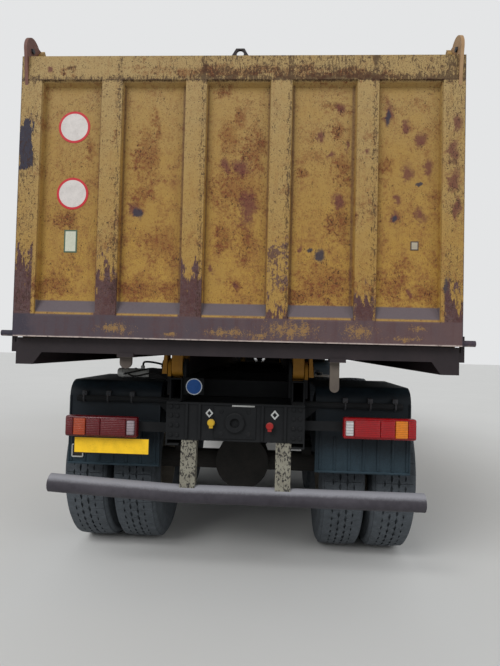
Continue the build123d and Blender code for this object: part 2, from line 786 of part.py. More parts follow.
# Steering knuckles: forked round the axle's eye, with the wheel's spindle and a steering arm
lug_gap = 3
lug_height = 32
arm_length = 165
arm_z = axle_z - eye_half - lug_gap - lug_height / 2
tie_pin = 12
spindle = 35
hub_inner = front_wheel_x - 40
for name, side in sides:
    with BuildPart() as knuckle:
        king_x = side * kingpin_x
        for end in (-1, 1):
            lug_low = axle_z + end * (eye_half + lug_gap)
            lug = sorted((lug_low, lug_low + end * lug_height))
            boss(42, king_x, front_axle_y, lug)
            lug_x = (king_x, side * (kingpin_x + eye_radius + move_gap + 25))
            block(lug_x, (axle_at - 40, axle_at + 40), lug)
        plate_x = (side * (kingpin_x + eye_radius + move_gap), side * (kingpin_x + eye_radius + move_gap + 25))
        block(plate_x, (axle_at - 55, axle_at + 55), (axle_z - 97, axle_z + 97))
        drum(190, (plate_x[1], side * (hub_inner - move_gap)), front_axle_y, axle_z)
        rod(spindle, (plate_x[1], side * (front_wheel_x + 60)), front_axle_y, axle_z)
        with BuildSketch(Plane.XY.offset(arm_z - lug_height / 2)):
            with BuildLine():
                Polyline(
                    (king_x - 32, front_axle_y), (king_x + 32, front_axle_y),
                    (king_x + 22, front_axle_y - arm_length), (king_x - 22, front_axle_y - arm_length),
                    close=True,
                )
            make_face()
            with Locations((king_x, front_axle_y - arm_length)):
                Circle(26)
        extrude(amount=lug_height)
        post(kingpin + seat_gap, king_x, front_axle_y, (axle_z - 200, axle_z + 200), Mode.SUBTRACT)
        tie_pin_low = arm_z - lug_height / 2 - 45
        post(tie_pin, king_x, front_axle_y - arm_length, (tie_pin_low, arm_z))
    finish(knuckle, f"knuckle_{name}")

# Tie rod between the two steering arms
tie_z = arm_z - lug_height / 2 - 22
tie_y = front_axle_y - arm_length
with BuildPart() as tie_rod:
    drum(16, (-kingpin_x + 20, kingpin_x - 20), tie_y, tie_z, flats=12)
    for side in (-1, 1):
        boss(28, side * kingpin_x, tie_y, (tie_z - 18, tie_z + 18))
        post(tie_pin + seat_gap, side * kingpin_x, tie_y, (tie_z - 20, tie_z + 20), Mode.SUBTRACT)
finish(tie_rod, "tie_rod")


def tyre(x, y):
    # A ring with flat tread, slanted shoulders and upright sidewalls, cut to flats as wide as a tread lug.
    stations = (
        (x - tyre_width / 2, shoulder_radius),
        (x - tread_width / 2, wheel_radius),
        (x + tread_width / 2, wheel_radius),
        (x + tyre_width / 2, shoulder_radius),
    )
    with BuildPart() as ring:
        for place, radius in stations:
            with BuildSketch(Plane.YZ.offset(place)):
                with Locations((y, axle_z)):
                    RegularPolygon(radius, tyre_flats, major_radius=False, rotation=180 / tyre_flats)
        loft(ruled=True)
        drum(bead_radius, (x - tyre_width / 2, x + tyre_width / 2), y, axle_z, Mode.SUBTRACT, tyre_flats)
    return ring.part


# Front wheels: a tyre, and a rim with a convex hub on the knuckle's spindle
for name, side in sides:
    with BuildPart() as front_tyre:
        add(tyre(side * front_wheel_x, front_axle_y))
    finish(front_tyre, f"front_tyre_{name}")
    with BuildPart() as front_rim:
        centre_x = side * front_wheel_x
        disc_x = front_wheel_x + 70
        rim_x = (centre_x - rim_width / 2, centre_x + rim_width / 2)
        drum(bead_radius - seat_gap, rim_x, front_axle_y, axle_z)
        cavity = bead_radius - rim_wall
        drum(cavity, (side * (front_wheel_x - rim_width / 2), side * disc_x), front_axle_y, axle_z, Mode.SUBTRACT)
        face_x = (side * (disc_x + 14), side * (front_wheel_x + rim_width / 2))
        drum(cavity, face_x, front_axle_y, axle_z, Mode.SUBTRACT)
        drum(110, (side * hub_inner, side * (front_wheel_x + 150)), front_axle_y, axle_z, flats=24)
        rod(spindle + seat_gap, (side * hub_inner, side * (front_wheel_x + 61)), front_axle_y, axle_z, Mode.SUBTRACT)
    finish(front_rim, f"front_rim_{name}")

# Twin rear wheels: two tyres on one long rim, with hub and brake drum, turning on the axle's stub
for number, axle_y in ((1, tandem_y), (2, rear_axle_y)):
    for name, side in sides:
        with BuildPart() as twin_tyres:
            add(tyre(side * (twin_x - twin_spacing / 2), axle_y))
            add(tyre(side * (twin_x + twin_spacing / 2), axle_y))
        finish(twin_tyres, f"rear_tyres_{name}_{number}")
        with BuildPart() as twin_rim:
            rim_half = twin_spacing / 2 + rim_width / 2
            cavity = bead_radius - rim_wall
            outer, inner = side * (twin_x + rim_half), side * (twin_x - rim_half)
            drum(bead_radius - seat_gap, (inner, outer), axle_y, axle_z)
            drum(cavity, (side * (twin_x + 12), outer), axle_y, axle_z, Mode.SUBTRACT)
            drum(cavity, (inner, side * (twin_x - 12)), axle_y, axle_z, Mode.SUBTRACT)
            drum(150, (side * twin_x, side * (twin_x + 230)), axle_y, axle_z, flats=24)
            drum(210, (side * drum_inner, side * twin_x), axle_y, axle_z, flats=24)
            rod(axle_stub + seat_gap, (side * drum_inner, side * (stub_end + 1)), axle_y, axle_z, Mode.SUBTRACT)
        finish(twin_rim, f"rear_rims_{name}_{number}")

# Engine and gearbox as one plain block between the rails, with the radiator ahead of it
engine_half = 280
engine_low = 720
engine_top = 1480
engine_start = cab_back + 300
engine_length = 960
with BuildPart() as engine_block:
    block(
        (-engine_half, engine_half), (engine_start, engine_start + engine_length), (engine_low, engine_top)
    )
    chamfer(engine_block.edges().filter_by(Axis.Y), 60)
    block((-190, 190), (cab_back - 230, engine_start), (820, rail_low + 160))
    for side in (-1, 1):
        block(
            (side * (engine_half - 10), side * member_reach),
            (engine_start + 200, engine_start + 290),
            (rail_low + 60, rail_low + 140),
        )
    block((-rail_inner + 10, rail_inner - 10), (frame_front - 190, frame_front - 130), (rail_low + 130, 1300))
finish(engine_block, "engine_block")

# Propeller shafts: (rear end, height there, front end, height there)
nose_tip = rear_overhang + nose_length
shaft_radius = 48
shaft_table = (
    (nose_tip, axle_z + 10, rear_overhang + tandem_spacing - 115, axle_z + 10),
    (nose_tip + tandem_spacing, axle_z + 10, cab_back - 230, 930),
)
with BuildPart() as propeller_shafts:
    for start, start_z, end, end_z in shaft_table:
        for at, height in ((start, start_z), (end, end_z)):
            with BuildSketch(Plane.XZ.offset(-tail_y - at)):
                with Locations((0, height)):
                    Circle(shaft_radius)
        loft()
finish(propeller_shafts, "propeller_shafts")

# Fuel tank on the right, on two brackets with straps
tank_x = (560, 1140)
tank_at = (tandem_spacing + rear_overhang + 1000, bed_length - 350)
with BuildPart() as fuel_tank:
    block(tank_x, tank_at, (560, 1120))
    fillet(fuel_tank.edges().filter_by(Axis.Y), 110)
    for start in (tank_at[0] + 180, tank_at[1] - 240):
        block((frame_width / 2, 600), (start, start + 60), (640, 1100))
finish(fuel_tank, "fuel_tank")

# Battery box and air tanks on the left
with BuildPart() as battery_box:
    block((-1120, -560), (bed_length - 750, bed_length - 150), (620, 1040))
    fillet(battery_box.edges().filter_by(Axis.X), 30)
    block((-frame_width / 2, -570), (bed_length - 700, bed_length - 640), (900, 1020), Mode.ADD)
    block((-frame_width / 2, -570), (bed_length - 260, bed_length - 200), (900, 1020), Mode.ADD)
finish(battery_box, "battery_box")

air_tank_at = rear_overhang + tandem_spacing + 850
air_tank_radius = 125
air_tank_length = 740
air_tank_z = 920
with BuildPart() as air_tanks:
    for x in (-680, -970):
        with BuildSketch(Plane.XZ.offset(-tail_y - air_tank_at)):
            with Locations((x, air_tank_z)):
                RegularPolygon(air_tank_radius, 20, major_radius=False)
        extrude(amount=-air_tank_length)
    chamfer(air_tanks.faces().filter_by(Axis.Y).edges(), 35)
    for start in (air_tank_at + 120, air_tank_at + 560):
        block((-1020, -frame_width / 2), (start, start + 50), (1030, 1070))
finish(air_tanks, "air_tanks")

# Silencer on the right behind the front wheel
with BuildPart() as silencer:
    block((560, 1080), (bed_length - 200, bed_length + 330), (640, 1060))
    fillet(silencer.edges().filter_by(Axis.Y), 90)
    block((frame_width / 2, 600), (bed_length - 60, bed_length), (900, 1020))
    block((frame_width / 2, 600), (bed_length + 130, bed_length + 190), (900, 1020))
finish(silencer, "silencer")

# Front mudguards: arches round the steered wheels, held from the rails
arch_radius = 700
arch_sheet = 8
arch_outer = 1215
arch_inner = 860
with BuildPart() as front_mudguards:
    with BuildSketch(Plane.YZ.offset(arch_inner)):
        with Locations((front_axle_y, axle_z)):
            Circle(arch_radius + arch_sheet)
            Circle(arch_radius, mode=Mode.SUBTRACT)
        with Locations((front_axle_y, axle_z + 50)):
            Rectangle(3 * arch_radius, 2 * arch_radius, align=(Align.CENTER, Align.MAX), mode=Mode.SUBTRACT)
    extrude(amount=arch_outer - arch_inner)
    bar_at = (axle_at - 520, axle_at - 480)
    block((frame_width / 2, arch_inner + 140), bar_at, (rail_top - 40, rail_top))
    mirror(about=Plane.YZ)
finish(front_mudguards, "front_mudguards")

# Front bumper: a deep shell wrapped round the corners, with the tow pin's jaw, on two frame brackets
bumper_low = 420
bumper_top = 860
bumper_wall = 14
wrap_back = cab_front - 190
bumper_half = cab_width / 2 + 20
headlamp_x = (700, 1020)
headlamp_z = (600, 760)
jaw_half = 70
jaw_low = 560
jaw_high = 740
jaw_bore = 20
jaw_pin_at = bumper_front - 60
bracket_low = 630
bracket_high = 760
with BuildPart() as front_bumper:
    with BuildSketch(Plane.XY.offset(bumper_low)):
        with BuildLine():
            FilletPolyline(
                (-bumper_half, tail_y + wrap_back), (-bumper_half, tail_y + bumper_front),
                (bumper_half, tail_y + bumper_front), (bumper_half, tail_y + wrap_back), radius=130,
            )
            offset(amount=bumper_wall, side=Side.RIGHT)
        make_face()
    extrude(amount=bumper_top - bumper_low)
    jaw_mouth = (bumper_front - bumper_wall - 10, bumper_front + 10)
    for side in (-1, 1):
        block(
            (side * (headlamp_x[0] - seat_gap), side * (headlamp_x[1] + seat_gap)),
            jaw_mouth,
            (headlamp_z[0] - seat_gap, headlamp_z[1] + seat_gap),
            Mode.SUBTRACT,
        )
    block((-jaw_half - 40, jaw_half + 40), jaw_mouth, (jaw_low - 40, jaw_high + 40), Mode.SUBTRACT)
    block((-rail_inner, rail_inner), (frame_front, frame_front + 30), (jaw_low + 30, jaw_high - 30))
    block((-jaw_half, jaw_half), (frame_front, bumper_front - 6), (jaw_low, jaw_high))
    block((-jaw_half, jaw_half), (jaw_pin_at - 55, bumper_front), (jaw_low + 60, jaw_high - 60), Mode.SUBTRACT)
    post(jaw_bore, 0, tail_y + jaw_pin_at, (jaw_low, jaw_high), Mode.SUBTRACT)
    for side in (-1, 1):
        hanger_x = (side * rail_inner, side * frame_width / 2)
        hanger_back = frame_front - 120
        block(hanger_x, (hanger_back, bumper_front - bumper_wall), (bracket_low, bracket_high))
        block(hanger_x, (hanger_back, frame_front - 20), (bracket_low, rail_low))
        block(
            (side * frame_width / 2, side * (frame_width / 2 + 20)),
            (cab_pivot_at - 90, cab_pivot_at + 25),
            (rail_low + 5, rail_low + 70),
        )
        pin_x = (side * frame_width / 2, side * (frame_width / 2 + 30 + cab_arm))
        rod(cab_pin, pin_x, cab_pivot_y, cab_pivot_z)
finish(front_bumper, "front_bumper")

# Headlamps in the bumper
with BuildPart() as headlamps:
    block(headlamp_x, (bumper_front - bumper_wall - 70, bumper_front - 4), headlamp_z)
    mirror(about=Plane.YZ)
finish(headlamps, "headlamps")

# Steps ahead of the front wheels: a box with two treads cut in, held to the rails
step_back = axle_at + arch_radius + arch_sheet + 12
step_front = cab_front - 200
with BuildPart() as front_steps:
    block((arch_inner + 20, arch_outer), (step_back, step_front), (bumper_low, cab_floor - 25))
    for tread in (bumper_low + 60, bumper_low + 400):
        block(
            (arch_inner + 150, arch_outer), (step_back + 40, step_front - 40), (tread, tread + 250), Mode.SUBTRACT
        )
    block((frame_width / 2, arch_inner + 20), (step_back + 60, step_back + 120), (rail_low + 40, rail_low + 110))
    mirror(about=Plane.YZ)
finish(front_steps, "front_steps")

# The cab's outer form: side, plan and front outlines, each taken in by the same inset
roof_front = cab_front - 500
screen_top = cab_front - 330
screen_top_z = cab_roof - 110


def cab_form(inset):
    with BuildPart() as form:
        with BuildSketch(Plane.YZ):
            with BuildLine():
                Polyline(
                    (tail_y + cab_back, cab_floor),
                    (tail_y + cab_back, cab_roof - 60),
                    (tail_y + cab_back + 70, cab_roof),
                    (tail_y + roof_front, cab_roof),
                    (tail_y + screen_top, screen_top_z),
                    (tail_y + cab_front - 40, screen_low),
                    (tail_y + cab_front, screen_low - 80),
                    (tail_y + cab_front, cab_floor),
                    close=True,
                )
            make_face()
            if inset:
                offset(amount=-inset, kind=Kind.INTERSECTION, mode=Mode.REPLACE)
        extrude(amount=cab_width / 2, both=True)
        with BuildSketch(Plane.XY):
            with Locations((0, tail_y + cab_back - 300)):
                Rectangle(cab_width, cab_length + 300, align=(Align.CENTER, Align.MIN))
            fillet(vertices().group_by(Axis.Y)[-1], 200)
            if inset:
                offset(amount=-inset, kind=Kind.INTERSECTION, mode=Mode.REPLACE)
        extrude(amount=cab_roof, mode=Mode.INTERSECT)
        with BuildSketch(Plane.XZ.offset(-tail_y - cab_back)):
            with BuildLine():
                half = cab_width / 2
                Polyline(
                    (-half, 0), (-half, screen_low), (-half + 50, cab_roof - 90), (-half + 140, cab_roof),
                    (half - 140, cab_roof), (half - 50, cab_roof - 90), (half, screen_low), (half, 0), close=True,
                )
            make_face()
            if inset:
                offset(amount=-inset, kind=Kind.INTERSECTION, mode=Mode.REPLACE)
        extrude(amount=-cab_length, mode=Mode.INTERSECT)
    return form.part


outer_form = cab_form(0)
inner_form = cab_form(cab_wall)
glass_outer = cab_form(20)
glass_inner = cab_form(20 + glass_plate)

# Door, its window and the other windows: outlines as seen from the side or the front
door_back = cab_back + 330
door_front = cab_front - 440
door_low = cab_floor + 20
door_high = cab_roof - 130
hinge_line_y = tail_y + door_front
hinge_lows = (door_low + 150, door_low + 520)
hinge_height = 60
hinge_barrel = 13
hinge_rod = 5
window_low = screen_low + 10
window_edge = 90
tunnel_half = 330
side_plane = cab_width / 2 - 2 * cab_wall
tunnel_top = engine_top + 50


def door_outline(shrink):
    with BuildSketch(Plane.YZ.offset(side_plane)) as outline:
        with Locations((tail_y + (door_back + door_front) / 2, (door_low + door_high) / 2)):
            Rectangle(door_front - door_back - 2 * shrink, door_high - door_low - 2 * shrink)
        fillet(outline.vertices(), 60)
    return outline.sketch


def window_outline(shrink):
    with BuildSketch(Plane.YZ.offset(side_plane)) as outline:
        with Locations((tail_y + (door_back + door_front) / 2, (window_low + door_high - window_edge) / 2)):
            Rectangle(
                door_front - door_back - 2 * window_edge - 2 * shrink,
                door_high - window_edge - window_low - 2 * shrink,
            )
        fillet(outline.vertices(), 50)
    return outline.sketch


def screen_outline(shrink):
    with BuildSketch(Plane.XZ.offset(-tail_y - cab_back - cab_length / 2)) as outline:
        with Locations((0, (screen_low + screen_top_z) / 2)):
            Rectangle(cab_width - 400 - 2 * shrink, screen_top_z - screen_low - 60 - 2 * shrink)
        fillet(outline.vertices(), 60)
    return outline.sketch


def rear_outline(shrink):
    with BuildSketch(Plane.XZ.offset(-tail_y - cab_back - 200)) as outline:
        with Locations((0, screen_low + 380)):
            Rectangle(1100 - 2 * shrink, 420 - 2 * shrink)
        fillet(outline.vertices(), 50)
    return outline.sketch


def side_cut(outline, side):
    # The outline drawn for the right side, turned into a prism that runs out through the given side.
    if side < 0:
        outline = mirror(outline, about=Plane.YZ, mode=Mode.PRIVATE)
    return extrude(outline, dir=(side, 0, 0), amount=cab_width, mode=Mode.PRIVATE)


skirt_depth = 170

# Cab shell: walls, floor with its engine tunnel, front skirt and pivot arms, cut for doors and windows
with BuildPart() as cab_shell:
    add(outer_form)
    add(inner_form, mode=Mode.SUBTRACT)
    block(
        (-tunnel_half - 40, tunnel_half + 40),
        (cab_back + cab_wall, cab_front - cab_wall),
        (cab_floor + cab_wall - 1, tunnel_top + 40),
    )
    block((-tunnel_half, tunnel_half), (cab_back, cab_front - cab_wall), (cab_floor, tunnel_top), Mode.SUBTRACT)
    with BuildSketch(Plane.XY.offset(skirt_low)):
        with Locations((0, tail_y + cab_front)):
            Rectangle(cab_width, skirt_depth, align=(Align.CENTER, Align.MAX))
        fillet(vertices().group_by(Axis.Y)[-1], skirt_depth - 20)
        with Locations((0, tail_y + cab_front - cab_wall)):
            Rectangle(
                cab_width - 2 * cab_wall, skirt_depth, align=(Align.CENTER, Align.MAX), mode=Mode.SUBTRACT
            )
    extrude(amount=cab_floor - skirt_low)
    for side in (-1, 1):
        arm_x = frame_width / 2 + 25
        with BuildSketch(Plane.YZ.offset(side * arm_x)):
            with Locations((cab_pivot_y, cab_floor)):
                Rectangle(100, cab_floor - cab_pivot_z, align=(Align.CENTER, Align.MAX))
            with Locations((cab_pivot_y, cab_pivot_z)):
                Circle(50)
            with Locations((cab_pivot_y, cab_pivot_z)):
                Circle(cab_pin + seat_gap, mode=Mode.SUBTRACT)
        extrude(amount=side * cab_arm)
    for side in (-1, 1):
        add(side_cut(door_outline(0), side), mode=Mode.SUBTRACT)
        for low in hinge_lows:
            notch_z = (low - move_gap, low + hinge_height + move_gap)
            post(hinge_barrel + move_gap, side * cab_width / 2, hinge_line_y, notch_z, Mode.SUBTRACT)
            post(hinge_rod, side * cab_width / 2, hinge_line_y, notch_z)
    add(extrude(screen_outline(0), amount=-cab_length, mode=Mode.PRIVATE), mode=Mode.SUBTRACT)
    add(extrude(rear_outline(0), amount=cab_length, mode=Mode.PRIVATE), mode=Mode.SUBTRACT)
finish(cab_shell, "cab_shell")

# Cab glass: windscreen and rear window, let into the walls
with BuildPart() as cab_glass:
    add(glass_outer)
    add(glass_inner, mode=Mode.SUBTRACT)
    screen_cut = extrude(screen_outline(seat_gap), amount=-cab_length, mode=Mode.PRIVATE)
    rear_cut = extrude(rear_outline(seat_gap), amount=cab_length, mode=Mode.PRIVATE)
    add(screen_cut + rear_cut, mode=Mode.INTERSECT)
finish(cab_glass, "cab_glass")

# Doors, each as thick as the cab's wall, with a window cut and its glass
for name, side in sides:
    with BuildPart() as door:
        add(outer_form)
        add(inner_form, mode=Mode.SUBTRACT)
        add(side_cut(door_outline(door_gap), side), mode=Mode.INTERSECT)
        add(side_cut(window_outline(0), side), mode=Mode.SUBTRACT)
        for low in hinge_lows:
            hinge_span = (low, low + hinge_height)
            post(hinge_barrel, side * cab_width / 2, hinge_line_y, hinge_span)
            post(hinge_rod + seat_gap, side * cab_width / 2, hinge_line_y, hinge_span, Mode.SUBTRACT)
    finish(door, f"door_{name}")
    with BuildPart() as door_glass:
        add(glass_outer)
        add(glass_inner, mode=Mode.SUBTRACT)
        add(side_cut(window_outline(seat_gap), side), mode=Mode.INTERSECT)
    finish(door_glass, f"door_glass_{name}")

# Grille: a frame with slats on the cab's front panel
grille_half = 760
grille_low = cab_floor + 60
grille_high = screen_low - 170
slat_count = 5
slat_pitch = (grille_high - grille_low - 40) / slat_count
with BuildPart() as cab_grille:
    block((-grille_half, grille_half), (cab_front, cab_front + 30), (grille_low, grille_high))
    for index in range(slat_count):
        slot_low = grille_low + 30 + index * slat_pitch
        block(
            (-grille_half + 30, grille_half - 30),
            (cab_front + 8, cab_front + 30),
            (slot_low, slot_low + slat_pitch - 20),
            Mode.SUBTRACT,
        )
finish(cab_grille, "cab_grille")

# Seats: a base, cushion and backrest each
seat_floor = cab_floor + cab_wall
seat_x = 720
seat_half = 240
seat_y = tail_y + cab_back + 260
with BuildPart() as cab_seats:
    for side in (-1, 1):
        base_x = (side * (seat_x - 170), side * (seat_x + 170))
        block(base_x, (cab_back + 320, cab_back + 660), (seat_floor, seat_floor + 270))
        with BuildSketch(Plane.YZ.offset(side * seat_x - seat_half)):
            with Locations((seat_y, seat_floor + 260)):
                RectangleRounded(500, 140, 45, align=(Align.MIN, Align.MIN))
            with Locations((seat_y - 20, seat_floor + 300)):
                RectangleRounded(130, 780, 50, rotation=8, align=(Align.MIN, Align.MIN))
        extrude(amount=2 * seat_half)
finish(cab_seats, "cab_seats")

# Dashboard across the cab under the windscreen, with the steering column and wheel on the left
dash_top = screen_low - 30
wheel_tilt = radians(35)
column_radius = 28
column_plane = Plane(
    origin=(-seat_x, tail_y + cab_front - 420, dash_top - 60), z_dir=(0, -cos(wheel_tilt), sin(wheel_tilt))
)
with BuildPart() as dashboard:
    with BuildSketch(Plane.YZ.offset(-cab_width / 2 + cab_wall + 20)):
        with BuildLine():
            Polyline(
                (tail_y + cab_front - cab_wall, dash_top),
                (tail_y + cab_front - 330, dash_top),
                (tail_y + cab_front - 400, dash_top - 90),
                (tail_y + cab_front - 330, dash_top - 300),
                (tail_y + cab_front - cab_wall, dash_top - 330),
                close=True,
            )
        make_face()
    extrude(amount=cab_width - 2 * cab_wall - 40)
    add(cab_form(cab_wall + seat_gap), mode=Mode.INTERSECT)
    with BuildSketch(column_plane.offset(-40)):
        Circle(column_radius + seat_gap)
    extrude(amount=190, mode=Mode.SUBTRACT)
finish(dashboard, "dashboard")

with BuildPart() as steering_wheel:
    with BuildSketch(column_plane.offset(-40)):
        Circle(column_radius)
    extrude(amount=190)
    with BuildSketch(column_plane.offset(140)):
        Rectangle(400, 40)
        Rectangle(40, 400)
    extrude(amount=14)
    with BuildSketch(column_plane.offset(133)):
        Circle(220)
        Circle(195, mode=Mode.SUBTRACT)
    extrude(amount=26)
finish(steering_wheel, "steering_wheel")

# Mirrors on arms from the cab's front corners, ahead of the doors
mirror_x = cab_width / 2 + 150
mirror_at = door_front + 120
with BuildPart() as cab_mirrors:
    block((mirror_x - 60, mirror_x + 110), (mirror_at - 30, mirror_at + 40), (screen_low + 60, screen_low + 480))
    chamfer(cab_mirrors.edges().filter_by(Axis.Y), 20)
    for holder_z in (screen_low + 110, screen_low + 430):
        drum(14, (cab_width / 2 - 100, mirror_x - 50), tail_y + mirror_at, holder_z, flats=10)
    add(outer_form, mode=Mode.SUBTRACT)
    mirror(about=Plane.YZ)
finish(cab_mirrors, "cab_mirrors")
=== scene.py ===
from functools import reduce
import json
import math

import bmesh
import bpy
from mathutils import Matrix, Vector


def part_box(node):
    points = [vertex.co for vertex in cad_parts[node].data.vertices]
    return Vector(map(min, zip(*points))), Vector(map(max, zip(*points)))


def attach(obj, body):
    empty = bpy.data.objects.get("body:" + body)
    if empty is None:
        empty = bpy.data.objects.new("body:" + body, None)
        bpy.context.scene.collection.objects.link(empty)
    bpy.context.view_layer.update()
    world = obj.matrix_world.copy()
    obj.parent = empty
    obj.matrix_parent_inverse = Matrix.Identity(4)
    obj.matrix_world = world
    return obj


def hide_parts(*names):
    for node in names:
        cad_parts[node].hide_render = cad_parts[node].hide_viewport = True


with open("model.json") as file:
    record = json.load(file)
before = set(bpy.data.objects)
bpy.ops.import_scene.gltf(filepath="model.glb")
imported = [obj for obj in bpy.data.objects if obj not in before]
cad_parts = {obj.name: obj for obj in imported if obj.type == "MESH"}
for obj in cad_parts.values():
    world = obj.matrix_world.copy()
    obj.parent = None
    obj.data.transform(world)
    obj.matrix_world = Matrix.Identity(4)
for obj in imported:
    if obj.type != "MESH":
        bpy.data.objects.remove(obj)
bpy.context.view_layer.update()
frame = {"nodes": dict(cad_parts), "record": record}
print("frame loaded")


# Nodes: surfaces, repeats and sky are all built with these two
def feed(tree, entry, value):  # links a socket, or sets a plain value
    source = value.socket if isinstance(value, Value) else value
    if isinstance(source, bpy.types.NodeSocket):
        tree.links.new(source, entry)
    else:
        entry.default_value = source


def addNode(tree, kind, settings=None, values=None):
    made = tree.nodes.new(kind)
    for key, value in (settings or {}).items():
        setattr(made, key, value)
    for key, value in (values or {}).items():
        feed(tree, made.inputs[key], value)
    return made


# Shader values: a socket with arithmetic
class Value:
    def __init__(self, paint, socket):
        self.paint = paint
        self.socket = socket

    def step(self, operation, first, second=0.0):
        return self.paint.node("ShaderNodeMath", {"operation": operation}, {0: first, 1: second})

    def __add__(self, other):
        return self.step("ADD", self, other)

    def __radd__(self, other):
        return self.step("ADD", other, self)

    def __sub__(self, other):
        return self.step("SUBTRACT", self, other)

    def __rsub__(self, other):
        return self.step("SUBTRACT", other, self)

    def __mul__(self, other):
        return self.step("MULTIPLY", self, other)

    def __rmul__(self, other):
        return self.step("MULTIPLY", other, self)

    def __abs__(self):
        return self.step("ABSOLUTE", self)

    def over(self, other):
        return self.step("MAXIMUM", self, other)

    def under(self, other):
        return self.step("MINIMUM", self, other)

    def root(self):
        return self.step("SQRT", self)

    def wave(self):
        return self.step("SINE", self)

    def ramp(self, low, high):  # 0 at low, 1 at high, smooth between
        settings = {"interpolation_type": "SMOOTHSTEP"}
        return self.paint.node("ShaderNodeMapRange", settings,
                               {"Value": self, "From Min": low, "From Max": high})

    def past(self, limit, half):  # 0 below a limit and 1 above it, blended over half a width either way
        return self.ramp(limit - half, limit + half)


class Paint:
    def __init__(self, name):
        self.material = bpy.data.materials.new(name)
        self.material.use_nodes = True
        self.tree = self.material.node_tree
        self.tree.nodes.clear()
        self.shader = addNode(self.tree, "ShaderNodeBsdfPrincipled")
        addNode(self.tree, "ShaderNodeOutputMaterial", None, {0: self.shader.outputs[0]})
        coords = addNode(self.tree, "ShaderNodeTexCoord").outputs
        self.place = Value(self, coords["Object"])
        parts = addNode(self.tree, "ShaderNodeSeparateXYZ", None, {0: self.place}).outputs
        self.x, self.y, self.z = (Value(self, parts[axis]) for axis in range(3))
        self.up = self.node("ShaderNodeSeparateXYZ", None, {0: coords["Normal"]}, 2)

    def node(self, kind, settings=None, values=None, output=0):
        return Value(self, addNode(self.tree, kind, settings, values).outputs[output])

    def noise(self, scale, detail=3.0, roughness=0.55, stretch=(1, 1, 1), seed=0.0):
        where = self.place
        if stretch != (1, 1, 1) or seed:
            where = self.node("ShaderNodeMapping", None,
                              {"Vector": where, "Location": (seed, seed * 0.7, -seed), "Scale": stretch})
        return self.node("ShaderNodeTexNoise", None,
                         {"Vector": where, "Scale": scale, "Detail": detail, "Roughness": roughness,
                          "Distortion": 0.0})

    def mix(self, share, first, second):
        return self.node("ShaderNodeMix", {"data_type": "RGBA"}, {0: share, 6: first, 7: second}, 2)

    def coats(self, colour, *layers):  # each layer is a share and the colour it lays over what is there
        for share, shade in layers:
            colour = self.mix(share, colour, shade)
        return colour

    def finish(self, colour, roughness, metallic=0.0, bump=None, strength=0.3, distance=0.004, **fixed):
        values = {"Base Color": colour, "Roughness": roughness, "Metallic": metallic}
        values.update({key.replace("_", " "): value for key, value in fixed.items()})
        if bump is not None:
            values["Normal"] = self.node("ShaderNodeBump", None,
                                         {"Strength": strength, "Distance": distance, "Height": bump})
        for key, value in values.items():
            feed(self.tree, self.shader.inputs[key], value)
        return self.material


def tint(red, green, blue):  # a colour as the eye reads it, turned to the linear one a shader takes
    parts = [channel / 255 for channel in (red, green, blue)]
    linear = [part / 12.92 if part < 0.04045 else ((part + 0.055) / 1.055) ** 2.4 for part in parts]
    return (*linear, 1.0)


# Worn paint: what a maker would change is in each look
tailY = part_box("tailgate_panel")[0][1]  # the tailgate's rear face
tailgateLook = {
    "ochre": tint(158, 124, 62), "tan": tint(164, 140, 95), "bright": tint(174, 136, 60),
    "deep": tint(132, 92, 50), "oldYellow": tint(150, 116, 66), "rust": tint(116, 66, 42),
    "plum": tint(78, 50, 50), "maroon": tint(100, 56, 50), "slate": tint(52, 50, 62),
    "chip": tint(54, 34, 26), "steel": tint(76, 66, 72), "steelWarm": tint(92, 72, 72),
    "shelf": tint(98, 89, 93), "lip": tint(196, 180, 172), "chipSize": 84.0, "speckSize": 210.0,
    "rough": 0.66, "shine": 0.22,
    "ribFoot": 0.0665, "ribEdge": 0.047, "postAt": 1.145, "flankAt": 1.2465, "topRail": 3.0,
    "shelfHigh": 1.74, "shelfLow": 1.66, "lipAt": 1.536,
}
# Rust marks on the tailgate: across, height, half width, half height
rustMarks = (
    (-0.47, 2.71, 0.02, 0.11), (-0.52, 2.58, 0.07, 0.13), (-0.545, 2.34, 0.035, 0.06),
    (-0.50, 2.367, 0.036, 0.03), (-0.55, 1.81, 0.13, 0.07), (-0.37, 1.81, 0.08, 0.05),
    (0.0, 2.40, 0.13, 0.14), (-0.07, 2.11, 0.04, 0.08), (0.05, 2.12, 0.05, 0.12),
    (-0.112, 2.954, 0.03, 0.03), (-0.056, 2.954, 0.023, 0.03), (0.0, 2.80, 0.03, 0.06),
    (-0.04, 2.67, 0.045, 0.10), (-0.982, 1.85, 0.04, 0.04), (-1.04, 1.83, 0.11, 0.06),
    (-0.87, 2.62, 0.025, 0.066), (0.55, 2.86, 0.07, 0.025), (0.60, 2.50, 0.05, 0.08),
    (0.36, 2.487, 0.03, 0.024), (0.58, 2.20, 0.06, 0.1), (0.50, 1.86, 0.14, 0.09),
    (0.38, 1.79, 0.08, 0.05), (0.843, 2.53, 0.044, 0.047), (0.92, 1.97, 0.06, 0.045),
    (0.88, 1.85, 0.08, 0.075), (0.0, 1.84, 0.035, 0.035), (0.57, 2.72, 0.03, 0.05),
    (-0.69, 2.66, 0.014, 0.02), (-0.98, 2.20, 0.05, 0.06), (-0.43, 2.08, 0.09, 0.10),
    (1.05, 1.82, 0.07, 0.05), (0.10, 2.62, 0.06, 0.10), (-0.05, 3.05, 0.45, 0.03),
    (0.62, 3.02, 0.35, 0.02), (-0.98, 3.06, 0.03, 0.02),
)
